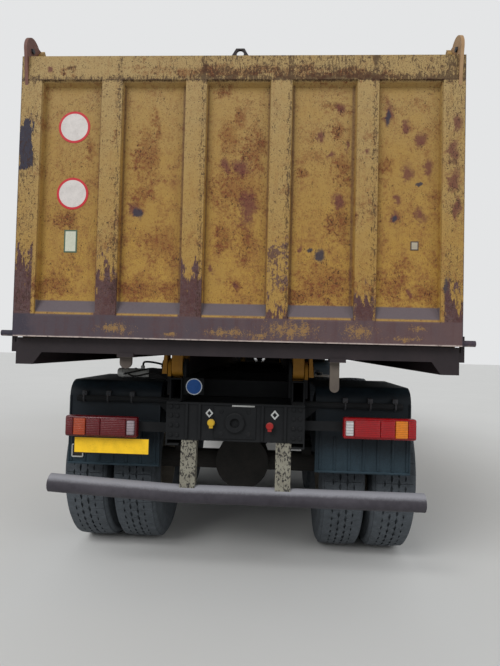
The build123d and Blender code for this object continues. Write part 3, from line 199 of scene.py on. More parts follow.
plumMarks = (
    (-0.578, 2.261, 0.035, 0.045), (0.06, 2.28, 0.05, 0.11), (0.03, 2.52, 0.06, 0.045),
    (-0.07, 2.52, 0.03, 0.04), (-0.133, 1.93, 0.016, 0.028), (0.586, 2.857, 0.026, 0.024),
    (0.468, 2.691, 0.03, 0.04), (0.533, 2.592, 0.022, 0.024), (0.622, 2.638, 0.014, 0.024),
    (0.576, 2.329, 0.03, 0.04), (0.351, 2.056, 0.015, 0.034), (0.838, 2.818, 0.025, 0.07),
    (0.948, 2.762, 0.026, 0.04), (1.026, 2.683, 0.04, 0.045), (0.952, 2.50, 0.038, 0.052),
    (1.072, 2.508, 0.032, 0.055), (0.90, 2.341, 0.02, 0.028), (0.886, 2.238, 0.026, 0.04),
    (1.02, 2.255, 0.036, 0.052), (0.97, 1.831, 0.012, 0.02), (1.185, 2.60, 0.032, 0.075),
    (1.192, 2.43, 0.036, 0.09), (1.21, 2.76, 0.024, 0.05), (1.205, 2.27, 0.02, 0.07),
    (-1.083, 3.053, 0.018, 0.018), (0.725, 2.60, 0.018, 0.013), (0.0, 1.84, 0.02, 0.02),
)
slateMarks = (
    (-0.566, 2.25, 0.024, 0.03), (0.477, 2.019, 0.032, 0.042), (0.419, 2.05, 0.018, 0.016),
    (0.84, 2.80, 0.013, 0.045), (1.015, 2.429, 0.018, 0.012), (1.16, 1.833, 0.014, 0.08),
    (0.886, 2.235, 0.012, 0.02),
)
bareEnds = (  # ribs and posts worn to the steel low down: across, half width, height where the paint starts
    (-0.725, 0.062, 1.92), (-0.245, 0.062, 1.93), (0.243, 0.062, 1.70), (0.714, 0.062, 1.76),
    (-1.215, 0.06, 1.98), (1.215, 0.06, 1.80),
)
railPaint = (  # yellow that is left on the low rail: across, height, half width, half height
    (-0.66, 1.585, 0.12, 0.03), (-0.03, 1.575, 0.14, 0.025), (0.33, 1.60, 0.17, 0.05),
    (0.68, 1.605, 0.09, 0.045), (0.15, 1.565, 0.08, 0.02), (1.02, 1.62, 0.05, 0.02),
    (-0.35, 1.56, 0.05, 0.015), (0.95, 1.565, 0.1, 0.015),
)
ribPlaces = (-0.725, -0.245, 0.243, 0.714)


def markField(x, z, marks):  # highest in the middle of a mark, 0.6 at its rim
    fields = []
    for across, height, halfWidth, halfHeight in marks:
        side = (x - across) * (1 / halfWidth)
        rise = (z - height) * (1 / halfHeight)
        fields.append(1.6 - (side * side + rise * rise).root())
    return reduce(Value.over, fields).over(-2.0)


def tailgatePaint(name):
    look = tailgateLook
    paint = Paint(name)
    x, z = paint.x, paint.z
    depth = paint.y - tailY
    broad = paint.noise(1.3, 3)
    cloud = paint.noise(5, 5, 0.62)
    blotch = paint.noise(13, 6, 0.68)
    fine = paint.noise(52, 5, 0.7)
    grain = paint.noise(190, 3, 0.65)
    worn = paint.noise(26, 6, 0.7, (1.0, 1.0, 0.3), 7.7)
    streak = paint.noise(22, 5, 0.65, (1.0, 1.0, 0.12), 3.1)
    blotchOff, fineOff, wornOff, streakOff = (field - 0.5 for field in (blotch, fine, worn, streak))
    front = 1 - depth.ramp(0.008, 0.02)  # ribs, posts and rails, not the sunk panels

    # Yellow: faded high up and on the ribs, stained low down and in the panels
    high = (z - 1.9) * 0.42 + broad * 0.35 + cloud * 0.5 + front * 0.22
    yellow = ((1 - front) * 0.25 + cloud * 0.9 + (2.2 - z) * 0.35).ramp(0.55, 1.0)
    stain = (cloud * 0.6 + blotch * 0.7 + (2.5 - z) * 0.08 - front * 0.1).ramp(0.58, 0.9)
    mottle = (blotch * 0.35 + fine * 0.75).ramp(0.5, 0.72)
    colour = paint.coats(
        look["ochre"], (high.ramp(0.45, 1.3), look["tan"]), (yellow * 0.8, look["bright"]),
        (stain * 0.75, look["deep"]), (mottle * (stain * 0.45 + 0.22), look["rust"]),
        (grain.ramp(0.52, 0.72) * 0.22, look["tan"]), (streak.ramp(0.52, 0.72) * 0.3, look["deep"]))

    # Rust marks, their edges torn by drifting the place that is asked for
    driftX = (paint.noise(8, 4, 0.65, seed=11.0) - 0.5) * 0.15 + fineOff * 0.06
    driftZ = (paint.noise(8, 4, 0.65, seed=17.0) - 0.5) * 0.17 + blotchOff * 0.08
    ragged = blotchOff * 1.7 + fineOff * 1.1
    rustField = markField(x + driftX, z + driftZ, rustMarks)
    plumField = markField(x + driftX * 0.7, z + driftZ * 0.7, plumMarks)
    slateField = markField(x + driftX * 0.4, z + driftZ * 0.4, slateMarks)
    rustShare = (rustField + ragged).ramp(0.0, 1.3)
    colour = paint.coats(
        colour, (rustShare * (mottle * 0.35 + 0.5), look["rust"]),
        ((plumField + ragged * 0.8).ramp(0.25, 1.25) * 0.84, look["maroon"]),
        ((slateField + ragged * 0.5).ramp(0.35, 0.95) * 0.92, look["slate"]))

    # Painted shade where each rib meets the sunk panel, and chips along each rib's right edge
    offs = [x - middle for middle in ribPlaces]
    seam = reduce(Value.over, [1 - abs(abs(off) - look["ribFoot"]).ramp(0.002, 0.014) for off in offs])
    edgeWear = reduce(Value.over, [1 - abs(off - look["ribEdge"]).ramp(0.004, 0.024) for off in offs])
    colour = paint.mix(seam * depth.ramp(0.022, 0.042) * (fine * 0.6 + 0.25), colour, look["plum"])

    # Ribs and posts worn to the steel
    ends = []
    for across, halfWidth, height in bareEnds:
        low = (height - z + wornOff * 0.95 + streakOff * 0.35).ramp(-0.02, 0.035)
        ends.append(low * (1 - abs(x - across).ramp(halfWidth, halfWidth + 0.01)))
    bare = reduce(Value.over, ends)
    leftPost = (1 - abs(x + 1.213 - wornOff * 0.12).ramp(0.032, 0.052)) * (1 - abs(z - 2.62).ramp(0.09, 0.2))
    leftPost = (leftPost * 1.2 + wornOff * 3.0 + streakOff * 3.0 + fineOff * 1.5).ramp(0.66, 0.78)
    leftPost = leftPost * front * (1 - x.ramp(-1.17, -1.16))
    thirdRib = (1 - abs(x - ribPlaces[2]).ramp(0.058, 0.066)) * (1 - abs(z - 1.95).ramp(0.08, 0.25))
    thirdRib = (thirdRib * 0.8 + wornOff * 2.6 + fineOff * 2.4).ramp(0.75, 0.95) * front
    bareSteel = paint.mix((blotch * 0.6 + fine * 0.5).ramp(0.4, 0.75), look["plum"], look["steelWarm"])
    bareSteel = paint.mix(grain.ramp(0.6, 0.66) * 0.5, bareSteel, look["deep"])
    colour = paint.coats(colour, ((bare * front).over(thirdRib * 0.85), bareSteel), (leftPost, look["slate"]))

    # Chips: crowded on edges, posts, rust and the top rail's right half
    underTop = 1 - abs(z - 3.004).ramp(0.004, 0.03)
    crowd = (cloud - 0.5) * 0.18 + (broad - 0.5) * 0.08 + rustShare * 0.05
    posts = abs(x).past(look["postAt"], 0.005)
    crowd = crowd + front * (edgeWear * 0.06 + underTop * 0.07 + posts * 0.03 + 0.014)
    crowd = crowd + z.past(look["topRail"], 0.005) * x.ramp(-0.75, 0.1) * 0.055
    chips = (paint.noise(look["chipSize"], 5, 0.68, (1.0, 1.0, 0.75), 1.7) + crowd).ramp(0.635, 0.66)
    longChips = (paint.noise(105, 5, 0.66, (1.0, 1.0, 0.2), 9.0) + crowd * 1.4).ramp(0.655, 0.675) * front
    specks = (paint.noise(look["speckSize"], 3, 0.6, (1, 1, 0.7), 5.0) + crowd * 0.8).ramp(0.60, 0.65)
    chips = chips.over(longChips * 0.9).over(specks * 0.75)
    shelfBare = (1 - z.past(look["shelfHigh"], 0.005)) * depth.ramp(0.008, 0.014)
    rail = (1 - z.past(look["shelfLow"], 0.005)).over(shelfBare)
    # A broken dark line along the top rail's lower edge
    railEdgeLine = 1 - abs(z - 2.9995 + fineOff * 0.006).ramp(0.001, 0.007)
    railEdgeLine = railEdgeLine * (cloud * 0.5 + fine * 0.6).ramp(0.42, 0.62)
    colour = paint.coats(colour, (chips * (1 - rail) * 0.82, look["chip"]), (railEdgeLine * 0.75, look["chip"]))

    # The low rail and the sloping shelf over it, bare but for some old yellow
    shelfShare = z.past(look["shelfLow"], 0.008) * depth.ramp(0.004, 0.012)
    left = markField(x + driftX * 0.5, z + driftZ * 0.25, railPaint) + fineOff * 3.0 + (grain - 0.5) * 4.0
    steel = paint.coats(
        look["steel"], ((x * 0.28 + blotch * 0.7 + cloud * 0.4).ramp(0.3, 0.95), look["steelWarm"]),
        ((streak * 0.7 + fine * 0.4).ramp(0.5, 0.75) * 0.6, look["plum"]),
        ((1 - (x + blotchOff * 0.2).ramp(-1.2, -1.1)) * 0.7, look["slate"]),
        (shelfShare * (0.7 + grain * 0.3), look["shelf"]),
        ((left + wornOff * 3.0).ramp(0.9, 1.3) * (1 - shelfShare) * 0.75, look["oldYellow"]),
        ((fine * 0.5 + grain * 0.6).ramp(0.62, 0.68) * 0.35, look["shelf"]))
    lip = (1 - (z + blotchOff * 0.008).past(look["lipAt"], 0.0035)) * (fine + cloud * 0.5).ramp(0.45, 0.8)
    flank = abs(x).past(look["flankAt"], 0.0025) * (blotch + worn).ramp(0.7, 1.1)
    colour = paint.coats(colour, (rail, steel), (lip * 0.85, look["lip"]), (flank * 0.8, look["slate"]))
    rough = look["rough"] + fineOff * 0.3 + rustShare * 0.15
    dents = paint.noise(3.6, 2, 0.4, seed=4.4) * (1.2 + (1 - front) * 4.0)
    relief = fine * 0.25 - chips * 0.5 - bare * 0.3 + blotch + dents
    return paint.finish(colour, rough, bump=relief, strength=0.35, Specular_IOR_Level=look["shine"])


# A part of a surface in another paint: limits across (x, or side when signed), along from the gate, and up
def zoneShare(paint, limits):
    places = {"x": abs(paint.x), "side": paint.x, "along": paint.y - tailY, "z": paint.z}
    shares = [places[key].past(low, 0.001) * (1 - places[key].past(high, 0.001))
              for key, (low, high) in limits.items()]
    return reduce(Value.__mul__, shares)


# One recipe for the rest of the painted and bare steel, cast metal, plastic and rubber
plainLook = {"size": 1.0, "zones": (), "streaks": 0.0, "chips": 0.5, "chipAt": 0.68, "chip": (50, 36, 30),
             "rust": 0.0, "rustAt": 0.8, "rustColour": (110, 68, 44), "dust": 0.3, "dustLow": 0.5,
             "dustHigh": 1.6, "dustColour": (128, 122, 114), "settle": 0.6, "rough": 0.6, "metallic": 0.0,
             "shine": 0.25}


def wornSurface(name, changes):
    look = {**plainLook, **changes}
    paint = Paint(name)
    size = look["size"]
    broad = paint.noise(1.7 * size, 3)
    blotch = paint.noise(10 * size, 5, 0.62)
    fine = paint.noise(70 * size, 4, 0.6)
    cloudy = (broad * 0.6 + blotch * 0.5).ramp(0.3, 0.8)
    colour = paint.mix(cloudy, tint(*look["base"]), tint(*look["shade"]))
    for zone in look["zones"]:
        other = paint.mix(cloudy, tint(*zone["base"]), tint(*zone["shade"]))
        colour = paint.mix(zoneShare(paint, zone["within"]), colour, other)
    if look["streaks"]:  # runs of rusty water down the walls
        runs = paint.noise(16, 5, 0.65, (1, 1, 0.1)) * 0.7 + blotch * 0.4
        colour = paint.mix(runs.ramp(0.5, 0.75) * look["streaks"], colour, tint(*look["rustColour"]))
    chips = paint.noise(60 * size, 5, 0.66, (1, 1, 0.6)) + (blotch - 0.5) * 0.2
    chips = chips.ramp(look["chipAt"], look["chipAt"] + 0.03)
    rust = (blotch * 0.8 + broad * 0.5 + (fine - 0.5) * 0.3).ramp(look["rustAt"], look["rustAt"] + 0.2)
    low = 1 - (paint.z + (blotch - 0.5) * 0.3).ramp(look["dustLow"], look["dustHigh"])
    # Dust on faces that look up; on the underrun tube the same pale share also paints light falling on its
    # top
    upFacing = paint.up.ramp(0.1, 0.95) * look["settle"]
    dust = (low * 0.55 + upFacing + (fine - 0.5) * 0.5 + (blotch - 0.5) * 0.4).ramp(0.1, 1.1)
    colour = paint.coats(colour, (chips * look["chips"], tint(*look["chip"])),
                         (rust * look["rust"], tint(*look["rustColour"])),
                         (dust * look["dust"], tint(*look["dustColour"])))
    metallic = look["metallic"]
    if metallic:
        metallic = metallic * (1 - dust * 0.7) * (1 - rust)
    rough = look["rough"] + (fine - 0.5) * 0.25 + dust * 0.15
    relief = fine * 0.4 + blotch * 0.7 - chips * 0.6
    return paint.finish(colour, rough, metallic, relief, distance=0.003, Specular_IOR_Level=look["shine"])


bedInside = {"base": (104, 92, 80), "shade": (82, 68, 60)}
looks = {
    "bedYellow": {"base": (164, 126, 58), "shade": (170, 142, 88), "rust": 0.85, "rustAt": 0.68,
                  "chips": 0.85, "chipAt": 0.64, "streaks": 0.4, "rustColour": (112, 70, 42), "dust": 0.35,
                  "dustLow": 1.2, "dustHigh": 2.0, "dustColour": (120, 104, 84),
                  "zones": ({"within": {"x": (-0.1, 1.1745), "along": (0.0, 5.0235), "z": (1.5, 3.3)},
                             **bedInside},)},
    "bedSteel": {"base": (98, 88, 78), "shade": (74, 62, 54), "rust": 0.7, "rustAt": 0.66, "chips": 0.4,
                 "dust": 0.5, "dustColour": (132, 120, 104), "dustHigh": 1.7, "metallic": 0.3},
    "bedSill": {"base": (30, 25, 28), "shade": (44, 36, 38), "rust": 0.4, "chips": 0.3, "dust": 0.12,
                "zones": ({"within": {"x": (0.34, 0.5), "along": (0.3, 0.7), "z": (1.2, 1.447)},
                           "base": (146, 102, 26), "shade": (108, 74, 26)},
                          {"within": {"x": (0.54, 0.66), "along": (0.0, 0.2), "z": (1.2, 1.426)},
                           "base": (92, 84, 76), "shade": (70, 62, 58)})},
    "earRust": {"base": (52, 44, 44), "shade": (38, 32, 34), "rust": 0.5, "chips": 0.7, "dust": 0.15,
                "zones": ({"within": {"side": (-1.3, -1.0)}, "base": (122, 84, 72), "shade": (88, 62, 58)},
                          {"within": {"side": (1.0, 1.3)}, "base": (180, 150, 112),
                           "shade": (146, 112, 78)})},
    "chassisBlack": {"base": (13, 15, 17), "shade": (24, 25, 27), "rust": 0.3, "rustAt": 0.85, "dust": 0.22,
                     "dustColour": (84, 84, 84), "rough": 0.7, "shine": 0.15,
                     "zones": ({"within": {"x": (0.425, 0.46), "along": (0.35, 0.65), "z": (1.3, 1.447)},
                                "base": (146, 102, 26), "shade": (108, 74, 26)},)},
    "castIron": {"base": (20, 20, 21), "shade": (32, 30, 29), "rust": 0.35, "dust": 0.35, "rough": 0.75,
                 "dustColour": (92, 88, 82)},
    "strutCream": {"base": (142, 140, 126), "shade": (112, 108, 96), "chips": 0.95, "chipAt": 0.52,
                   "size": 1.5, "chip": (26, 24, 26), "rust": 0.5, "dust": 0.15},
    # The underrun tube: pale dust on its upper faces, there also a painted highlight from light falling on
    # its top
    "tubeGreyTopLit": {"base": (70, 67, 73), "shade": (46, 43, 49), "chips": 0.6, "chip": (44, 34, 36), "dust": 0.9,
                 "dustColour": (148, 148, 154), "dustLow": 0.0, "dustHigh": 0.3, "settle": 1.1, "rough": 0.6,
                 "size": 1.6},
    "tankAlloy": {"base": (158, 160, 162), "shade": (130, 132, 134), "metallic": 0.85, "rough": 0.42,
                  "dust": 0.4, "shine": 0.5},
    "hoistBlack": {"base": (24, 25, 27), "shade": (38, 38, 40), "dust": 0.2, "rough": 0.5, "shine": 0.4},
    "rimCream": {"base": (122, 116, 104), "shade": (98, 90, 80), "rust": 0.8, "rustAt": 0.72, "dust": 0.5,
                 "chips": 0.8, "chipAt": 0.64, "dustHigh": 1.1},
    "guardPlastic": {"base": (4, 12, 18), "shade": (10, 21, 29), "chips": 0.0, "dust": 0.75, "rough": 0.6,
                     "dustLow": 0.72, "dustHigh": 1.04, "dustColour": (66, 88, 100), "settle": 0.35,
                     "size": 1.5},
    "darkPlastic": {"base": (22, 23, 25), "shade": (34, 35, 37), "chips": 0.0, "dust": 0.3, "rough": 0.6},
    "rubber": {"base": (15, 15, 16), "shade": (24, 24, 25), "chips": 0.0, "dust": 0.3, "rough": 0.8},
    "tyreRubber": {"base": (32, 36, 40), "shade": (50, 55, 60), "chips": 0.0, "dust": 0.85, "rough": 0.85,
                   "dustColour": (112, 118, 124), "dustLow": 0.2, "dustHigh": 1.4, "size": 2.4},
    "nutSteel": {"base": (96, 88, 80), "shade": (70, 60, 54), "rust": 0.7, "metallic": 0.6, "rough": 0.5},
    "hookSteel": {"base": (44, 46, 50), "shade": (62, 62, 66), "rust": 0.4, "metallic": 0.3, "rough": 0.55},
    "valveGrey": {"base": (168, 170, 168), "shade": (128, 128, 124), "chips": 0.4, "dust": 0.5, "rough": 0.5},
    "reflectWhite": {"base": (196, 198, 196), "shade": (160, 162, 160), "chips": 0.5, "dust": 0.4,
                     "rough": 0.4},
    "couplingYellow": {"base": (206, 168, 34), "shade": (170, 134, 34), "chips": 0.3, "dust": 0.3,
                       "rough": 0.5},
    "couplingRed": {"base": (170, 26, 26), "shade": (128, 24, 22), "chips": 0.3, "dust": 0.3, "rough": 0.5},
    "dialWhite": {"base": (206, 206, 200), "shade": (186, 186, 180), "chips": 0.0, "dust": 0.1,
                  "rough": 0.35},
}
surfaces = {name: wornSurface(name, look) for name, look in looks.items()}
surfaces["tailgateOchre"] = tailgatePaint("tailgateOchre")


# Cab paint: yellow outside, grey trim inside, with the seams of the front panels drawn in
cabLook = {"back": 5.85, "front": 7.55, "half": 1.2, "roof": 2.95, "screenLow": 2.02, "screenAt": 7.51,
           "lean": 0.3537, "taper": 0.0595, "corner": 0.2, "skin": 0.03, "floor": 1.36,
           "roofFront": (7.22, 0.543, 2.84, 0.84), "roofSide": (1.15, 0.707, 2.86, 0.707),
           "roofBack": (5.85, 0.651, 2.89, 0.759), "yellow": tint(178, 134, 38), "pale": tint(184, 148, 68),
           "trim": tint(74, 71, 66), "seam": tint(22, 18, 14), "rust": tint(112, 70, 44),
           "chip": tint(60, 44, 34), "dust": tint(132, 118, 98), "hatch": (0.86, 1.36, 1.955)}


def cabInside(paint, along):
    # 1 where a point lies deeper than the sheet metal, from its depth under each side and rounded corner
    look = cabLook
    high = paint.z - look["screenLow"]
    sideDepth = look["half"] - high.over(0.0) * look["taper"] - abs(paint.x)
    frontDepth = (look["screenAt"] - high * look["lean"]).under(look["front"]) - along
    cornerSide = (look["corner"] - sideDepth).over(0.0)
    cornerFront = (look["corner"] - frontDepth).over(0.0)
    inside = look["corner"] - (cornerSide * cornerSide + cornerFront * cornerFront).root()
    inside = inside.under(along - look["back"]).under(look["roof"] - paint.z)
    for key, place, way in (("roofFront", along, -1), ("roofSide", abs(paint.x), -1), ("roofBack", along, 1)):
        edge, share, top, topShare = look[key]  # the sloping edges round the roof
        inside = inside.under((place - edge) * (share * way) + (top - paint.z) * topShare)
    return (inside - look["skin"]).ramp(0.0, 0.002) * paint.z.ramp(look["floor"], look["floor"] + 0.002)


def cabPaint(name):
    look = cabLook
    paint = Paint(name)
    along = paint.y - tailY
    broad = paint.noise(1.5, 3)
    blotch = paint.noise(9, 5, 0.6)
    fine = paint.noise(70, 4, 0.6)
    grain = paint.noise(420, 2)
    inside = cabInside(paint, along)
    below = (1.5 - paint.z).over(0.0)
    rust = (blotch * 0.9 + broad * 0.3 + below * 0.25 + (fine - 0.5) * 0.3).ramp(0.78, 0.95)
    chips = (paint.noise(80, 5, 0.66, (1, 1, 0.6)) + (blotch - 0.5) * 0.2).ramp(0.68, 0.7)
    hatchHalf, hatchLow, hatchHigh = look["hatch"]
    out = (abs(paint.x) - hatchHalf).over(hatchLow - paint.z).over(paint.z - hatchHigh)
    seam = (1 - abs(out).ramp(0.002, 0.004)) * along.ramp(7.5, 7.51)
    low = (1 - (paint.z + (blotch - 0.5) * 0.4).ramp(0.9, 1.9)) * 0.5 + paint.up.ramp(0.4, 0.95) * 0.45
    dust = (low + (fine - 0.5) * 0.4 + (blotch - 0.5) * 0.4).ramp(0.1, 1.0)
    trim = paint.mix(grain.ramp(0.4, 0.6) * 0.3, look["trim"], look["dust"])
    colour = paint.coats(
        look["yellow"], ((broad * 0.7 + blotch * 0.4).ramp(0.35, 0.8), look["pale"]),
        (rust * 0.7, look["rust"]), (chips * 0.6, look["chip"]), (seam, look["seam"]),
        (dust * 0.5, look["dust"]), (inside, trim))
    rough = 0.42 + dust * 0.25 + inside * 0.25 + (fine - 0.5) * 0.15
    relief = fine * 0.3 + grain * inside * 0.6 - seam * 2.0 - chips * 0.5
    return paint.finish(colour, rough, bump=relief, strength=0.2, distance=0.002, Specular_IOR_Level=0.35)


surfaces["cabYellow"] = cabPaint("cabYellow")
print("worn paints mixed")


# Lamps, glass, signs and rubber goods
def lensMaterial(name, colour, ribs=90.0):  # ribs to a metre of height
    paint = Paint(name)
    lines = (paint.z * (ribs * 2 * math.pi)).wave().ramp(-0.4, 0.9)
    grime = (paint.noise(30, 4) + paint.noise(160, 3) * 0.4).ramp(0.45, 1.0)
    shade = paint.mix(lines * 0.45, tint(*colour), tint(*[channel * 0.62 for channel in colour]))
    shade = paint.mix(grime * 0.3, shade, tint(*[channel * 0.35 + 14 for channel in colour]))
    return paint.finish(shade, 0.18 + grime * 0.3, bump=lines, strength=0.5, distance=0.002,
                        Specular_IOR_Level=0.3, Coat_Weight=0.12, Coat_Roughness=0.2)


def plainSign(name, face, border=None, centre=(0, 0), radius=0.09, ring=0.012, half=None):
    paint = Paint(name)
    across = paint.x - centre[0]
    rise = paint.z - centre[1]
    grime = (paint.noise(22, 5, 0.6) + paint.noise(140, 3) * 0.4).ramp(0.5, 1.1)
    colour = paint.mix(grime * 0.35, tint(*face), tint(*[channel * 0.62 for channel in face]))
    if border:
        if half:
            out = (abs(across) - half[0]).over(abs(rise) - half[1])
        else:
            out = (across * across + rise * rise).root() - radius
        colour = paint.mix((out + ring).ramp(-0.0008, 0.0008), colour, tint(*border))
    chips = paint.noise(120, 4, 0.6).ramp(0.68, 0.7)
    colour = paint.mix(chips * 0.6, colour, tint(96, 70, 50))
    return paint.finish(colour, 0.42 + grime * 0.25, bump=grime - chips, strength=0.12, distance=0.001,
                        Specular_IOR_Level=0.3)


def glazing(name):
    paint = Paint(name)
    dirt = (paint.noise(3, 5) + paint.noise(40, 3) * 0.3).ramp(0.45, 0.95)
    colour = paint.mix(dirt * 0.6, tint(46, 58, 58), tint(120, 114, 102))
    return paint.finish(colour, 0.06 + dirt * 0.3, bump=dirt, strength=0.03, distance=0.001,
                        Alpha=0.24 + dirt * 0.3)


def seatCloth(name):
    paint = Paint(name)
    weave = (paint.x * 900).wave() * (paint.z * 900).wave()
    soft = paint.noise(8, 4)
    colour = paint.mix(soft.ramp(0.3, 0.7), tint(44, 46, 52), tint(62, 64, 70))
    colour = paint.mix(weave.ramp(0, 1) * 0.3, colour, tint(84, 86, 92))
    return paint.finish(colour, 0.85 + (soft - 0.5) * 0.1, bump=weave, strength=0.25, distance=0.001)


def chromeMaterial(name, rough=0.14):
    paint = Paint(name)
    film = paint.noise(6, 4, 0.6, (1, 1, 0.3)).ramp(0.4, 0.8)
    colour = paint.mix(film * 0.5, tint(206, 206, 208), tint(150, 146, 138))
    return paint.finish(colour, rough + film * 0.25, 1.0, bump=film, strength=0.05, distance=0.001)


# The left tail lamp's darker red, clear and amber lenses are copies darkened as painted shade
surfaces.update({
    "redLens": lensMaterial("redLens", (158, 14, 22)),
    "shadedRedLens": lensMaterial("shadedRedLens", (96, 10, 18)),
    "amberLens": lensMaterial("amberLens", (224, 128, 28)),
    "clearLens": lensMaterial("clearLens", (206, 204, 204), ribs=60.0),
    "shadedClearLens": lensMaterial("shadedClearLens", (150, 136, 142), ribs=60.0),
    "shadedAmberLens": lensMaterial("shadedAmberLens", (170, 66, 30)),
    "glazing": glazing("glazing"),
    "seatCloth": seatCloth("seatCloth"),
    "chrome": chromeMaterial("chrome"),
    "mirrorFace": chromeMaterial("mirrorFace", 0.03),
})
print("lenses, glass and cloth mixed")

rearSets = ("left_1", "left_2", "right_1", "right_2")
nodePaints = {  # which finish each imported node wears
    "tailgateOchre": ("tailgate_panel",),
    "bedYellow": ("bed_sides", "headboard"),
    "bedSill": ("bed_underframe",),
    "bedSteel": ("bed_floor",),
    "earRust": ("tailgate_ears",),
    "chassisBlack": ("chassis_rails", "crossmembers", "subframe", "propeller_shafts", "leaf_springs",
                     "air_tanks", "rear_brackets"),
    "castIron": ("engine_block", "rear_axles", "front_axle", "knuckle_left", "knuckle_right", "tie_rod"),
    "strutCream": ("underrun_struts",),
    "tubeGreyTopLit": ("underrun_tube",),
    "tankAlloy": ("fuel_tank", "silencer"),
    "hoistBlack": ("hoist_barrel",),
    "chrome": ("hoist_stage_1", "hoist_stage_2", "hoist_stage_3"),
    "rimCream": ("front_rim_left", "front_rim_right", *[f"rear_rims_{place}" for place in rearSets]),
    "guardPlastic": ("rear_mudguards", "front_mudguards", "battery_box"),
    "darkPlastic": ("front_bumper", "front_steps", "cab_grille", "dashboard", "steering_wheel",
                    "cab_mirrors"),
    "cabYellow": ("cab_shell", "door_left", "door_right"),
    "glazing": ("cab_glass", "door_glass_left", "door_glass_right"),
    "seatCloth": ("cab_seats",),
    "tyreRubber": ("front_tyre_left", "front_tyre_right", *[f"rear_tyres_{place}" for place in rearSets]),
    "clearLens": ("headlamps",),
    "redLens": ("tail_lamps",),
}
for finish, nodes in nodePaints.items():
    for node in nodes:
        piece = frame["nodes"][node]
        piece.data.materials.clear()
        piece.data.materials.append(surfaces[finish])
print("packed nodes painted")


# Mesh helpers
sides = ((-1, "Left"), (1, "Right"))


def meshFrom(name, build, merge=False):
    shape = bmesh.new()
    build(shape)
    if merge:
        bmesh.ops.remove_doubles(shape, verts=shape.verts, dist=0.00002)
    bmesh.ops.recalc_face_normals(shape, faces=shape.faces)
    mesh = bpy.data.meshes.new(name)
    shape.to_mesh(mesh)
    shape.free()
    return mesh


def meshPiece(name, build, finish, body, smooth=True):
    return placePiece(name, meshFrom(name, build, merge=True), finish, body, smooth)


def placePiece(name, mesh, finish, body, smooth=True, replaces=()):
    piece = bpy.data.objects.new(name, mesh)
    bpy.context.scene.collection.objects.link(piece)
    if finish:
        mesh.materials.clear()
        mesh.materials.append(surfaces[finish])
    if smooth:
        softenEdges(mesh)
    if body:
        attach(piece, body)
    if replaces:
        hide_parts(*replaces)
    return piece


def softenEdges(mesh, angle=38):  # smooth faces, with the edges sharper than the angle in degrees kept
    mesh.polygons.foreach_set("use_smooth", [True] * len(mesh.polygons))
    mesh.update()
    edgeFaces = {}
    for face in mesh.polygons:
        for key in face.edge_keys:
            edgeFaces.setdefault(key, []).append(face.normal.copy())
    limit = math.cos(math.radians(angle))
    sharp = []
    for edge in mesh.edges:
        normals = edgeFaces.get(edge.key, [])
        sharp.append(len(normals) == 2 and normals[0].dot(normals[1]) < limit)
    attribute = mesh.attributes.get("sharp_edge") or mesh.attributes.new("sharp_edge", "BOOLEAN", "EDGE")
    attribute.data.foreach_set("value", sharp)


def slab(shape, low, high, bevel=0.0, steps=2):
    made = bmesh.ops.create_cube(shape, size=1.0)
    verts = made["verts"]
    for vert in verts:
        for axis in range(3):
            vert.co[axis] = low[axis] if vert.co[axis] < 0 else high[axis]
    if bevel:
        edges = {edge for vert in verts for edge in vert.link_edges}
        bmesh.ops.bevel(shape, geom=list(edges), offset=bevel, segments=steps, affect="EDGES", profile=0.5)
    return verts


def sideSlab(shape, side, across, along, heights, bevel=0.0, steps=2):
    # A block at distances across from the middle on one side, along from the tailgate and up
    first, last = sorted(side * reach for reach in across)
    slab(shape, (first, tailY + along[0], heights[0]), (last, tailY + along[1], heights[1]), bevel, steps)


def disc(shape, centre, axis, radius, length, flats=24, bevel=0.0, inner=0.0):
    # A round plate or bar from its centre along an axis, open in the middle where inner is given
    turn = Vector((0, 0, 1)).rotation_difference(Vector(axis)).to_matrix().to_4x4()
    place = Matrix.Translation(centre) @ turn
    rim = [(radius, 0.0), (radius, length)]
    if bevel:
        rim = [(radius - bevel, 0.0), (radius, bevel), (radius, length - bevel), (radius - bevel, length)]
    revolve(shape, [(inner, 0.0)] + rim + [(inner, length)], place, flats, closed=inner > 0)


def revolve(shape, profile, place, flats, closed=False):
    # Turns a list of radius and height about the local upright axis
    rings = []
    for radius, height in profile:
        if radius < 1e-6:
            rings.append([shape.verts.new(place @ Vector((0, 0, height)))])
            continue
        ring = []
        for index in range(flats):
            angle = 2 * math.pi * index / flats
            spot = Vector((radius * math.cos(angle), radius * math.sin(angle), height))
            ring.append(shape.verts.new(place @ spot))
        rings.append(ring)
    pairs = list(zip(rings, rings[1:]))
    if closed:
        pairs.append((rings[-1], rings[0]))
    for first, second in pairs:
        for index in range(flats):
            after = (index + 1) % flats
            corners = [first[index % len(first)], first[after % len(first)], second[after % len(second)],
                       second[index % len(second)]]
            unique = list(dict.fromkeys(corners))  # three corners where a ring is a single point
            if len(unique) > 2:
                shape.faces.new(unique)


def joinRings(shape, pairs):
    for first, second in pairs:
        for index in range(len(first)):
            after = (index + 1) % len(first)
            shape.faces.new((first[index], first[after], second[after], second[index]))


def ringAt(shape, point, radius, lift, across, flats):
    angles = [2 * math.pi * step / flats for step in range(flats)]
    return [shape.verts.new(point + radius * (math.cos(a) * lift + math.sin(a) * across)) for a in angles]


def tube(shape, points, radius, flats=10):
    # A round bar through points, with its rings turned along the path
    points = [Vector(point) for point in points]
    rings = []
    lift = None
    for index, point in enumerate(points):
        ahead = points[min(index + 1, len(points) - 1)] - points[max(index - 1, 0)]
        ahead.normalize()
        if lift is None:
            lift = ahead.orthogonal().normalized()
        lift = (lift - ahead * lift.dot(ahead)).normalized()
        rings.append(ringAt(shape, point, radius, lift, ahead.cross(lift), flats))
    joinRings(shape, zip(rings, rings[1:]))
    shape.faces.new(rings[0][::-1])
    shape.faces.new(rings[-1])


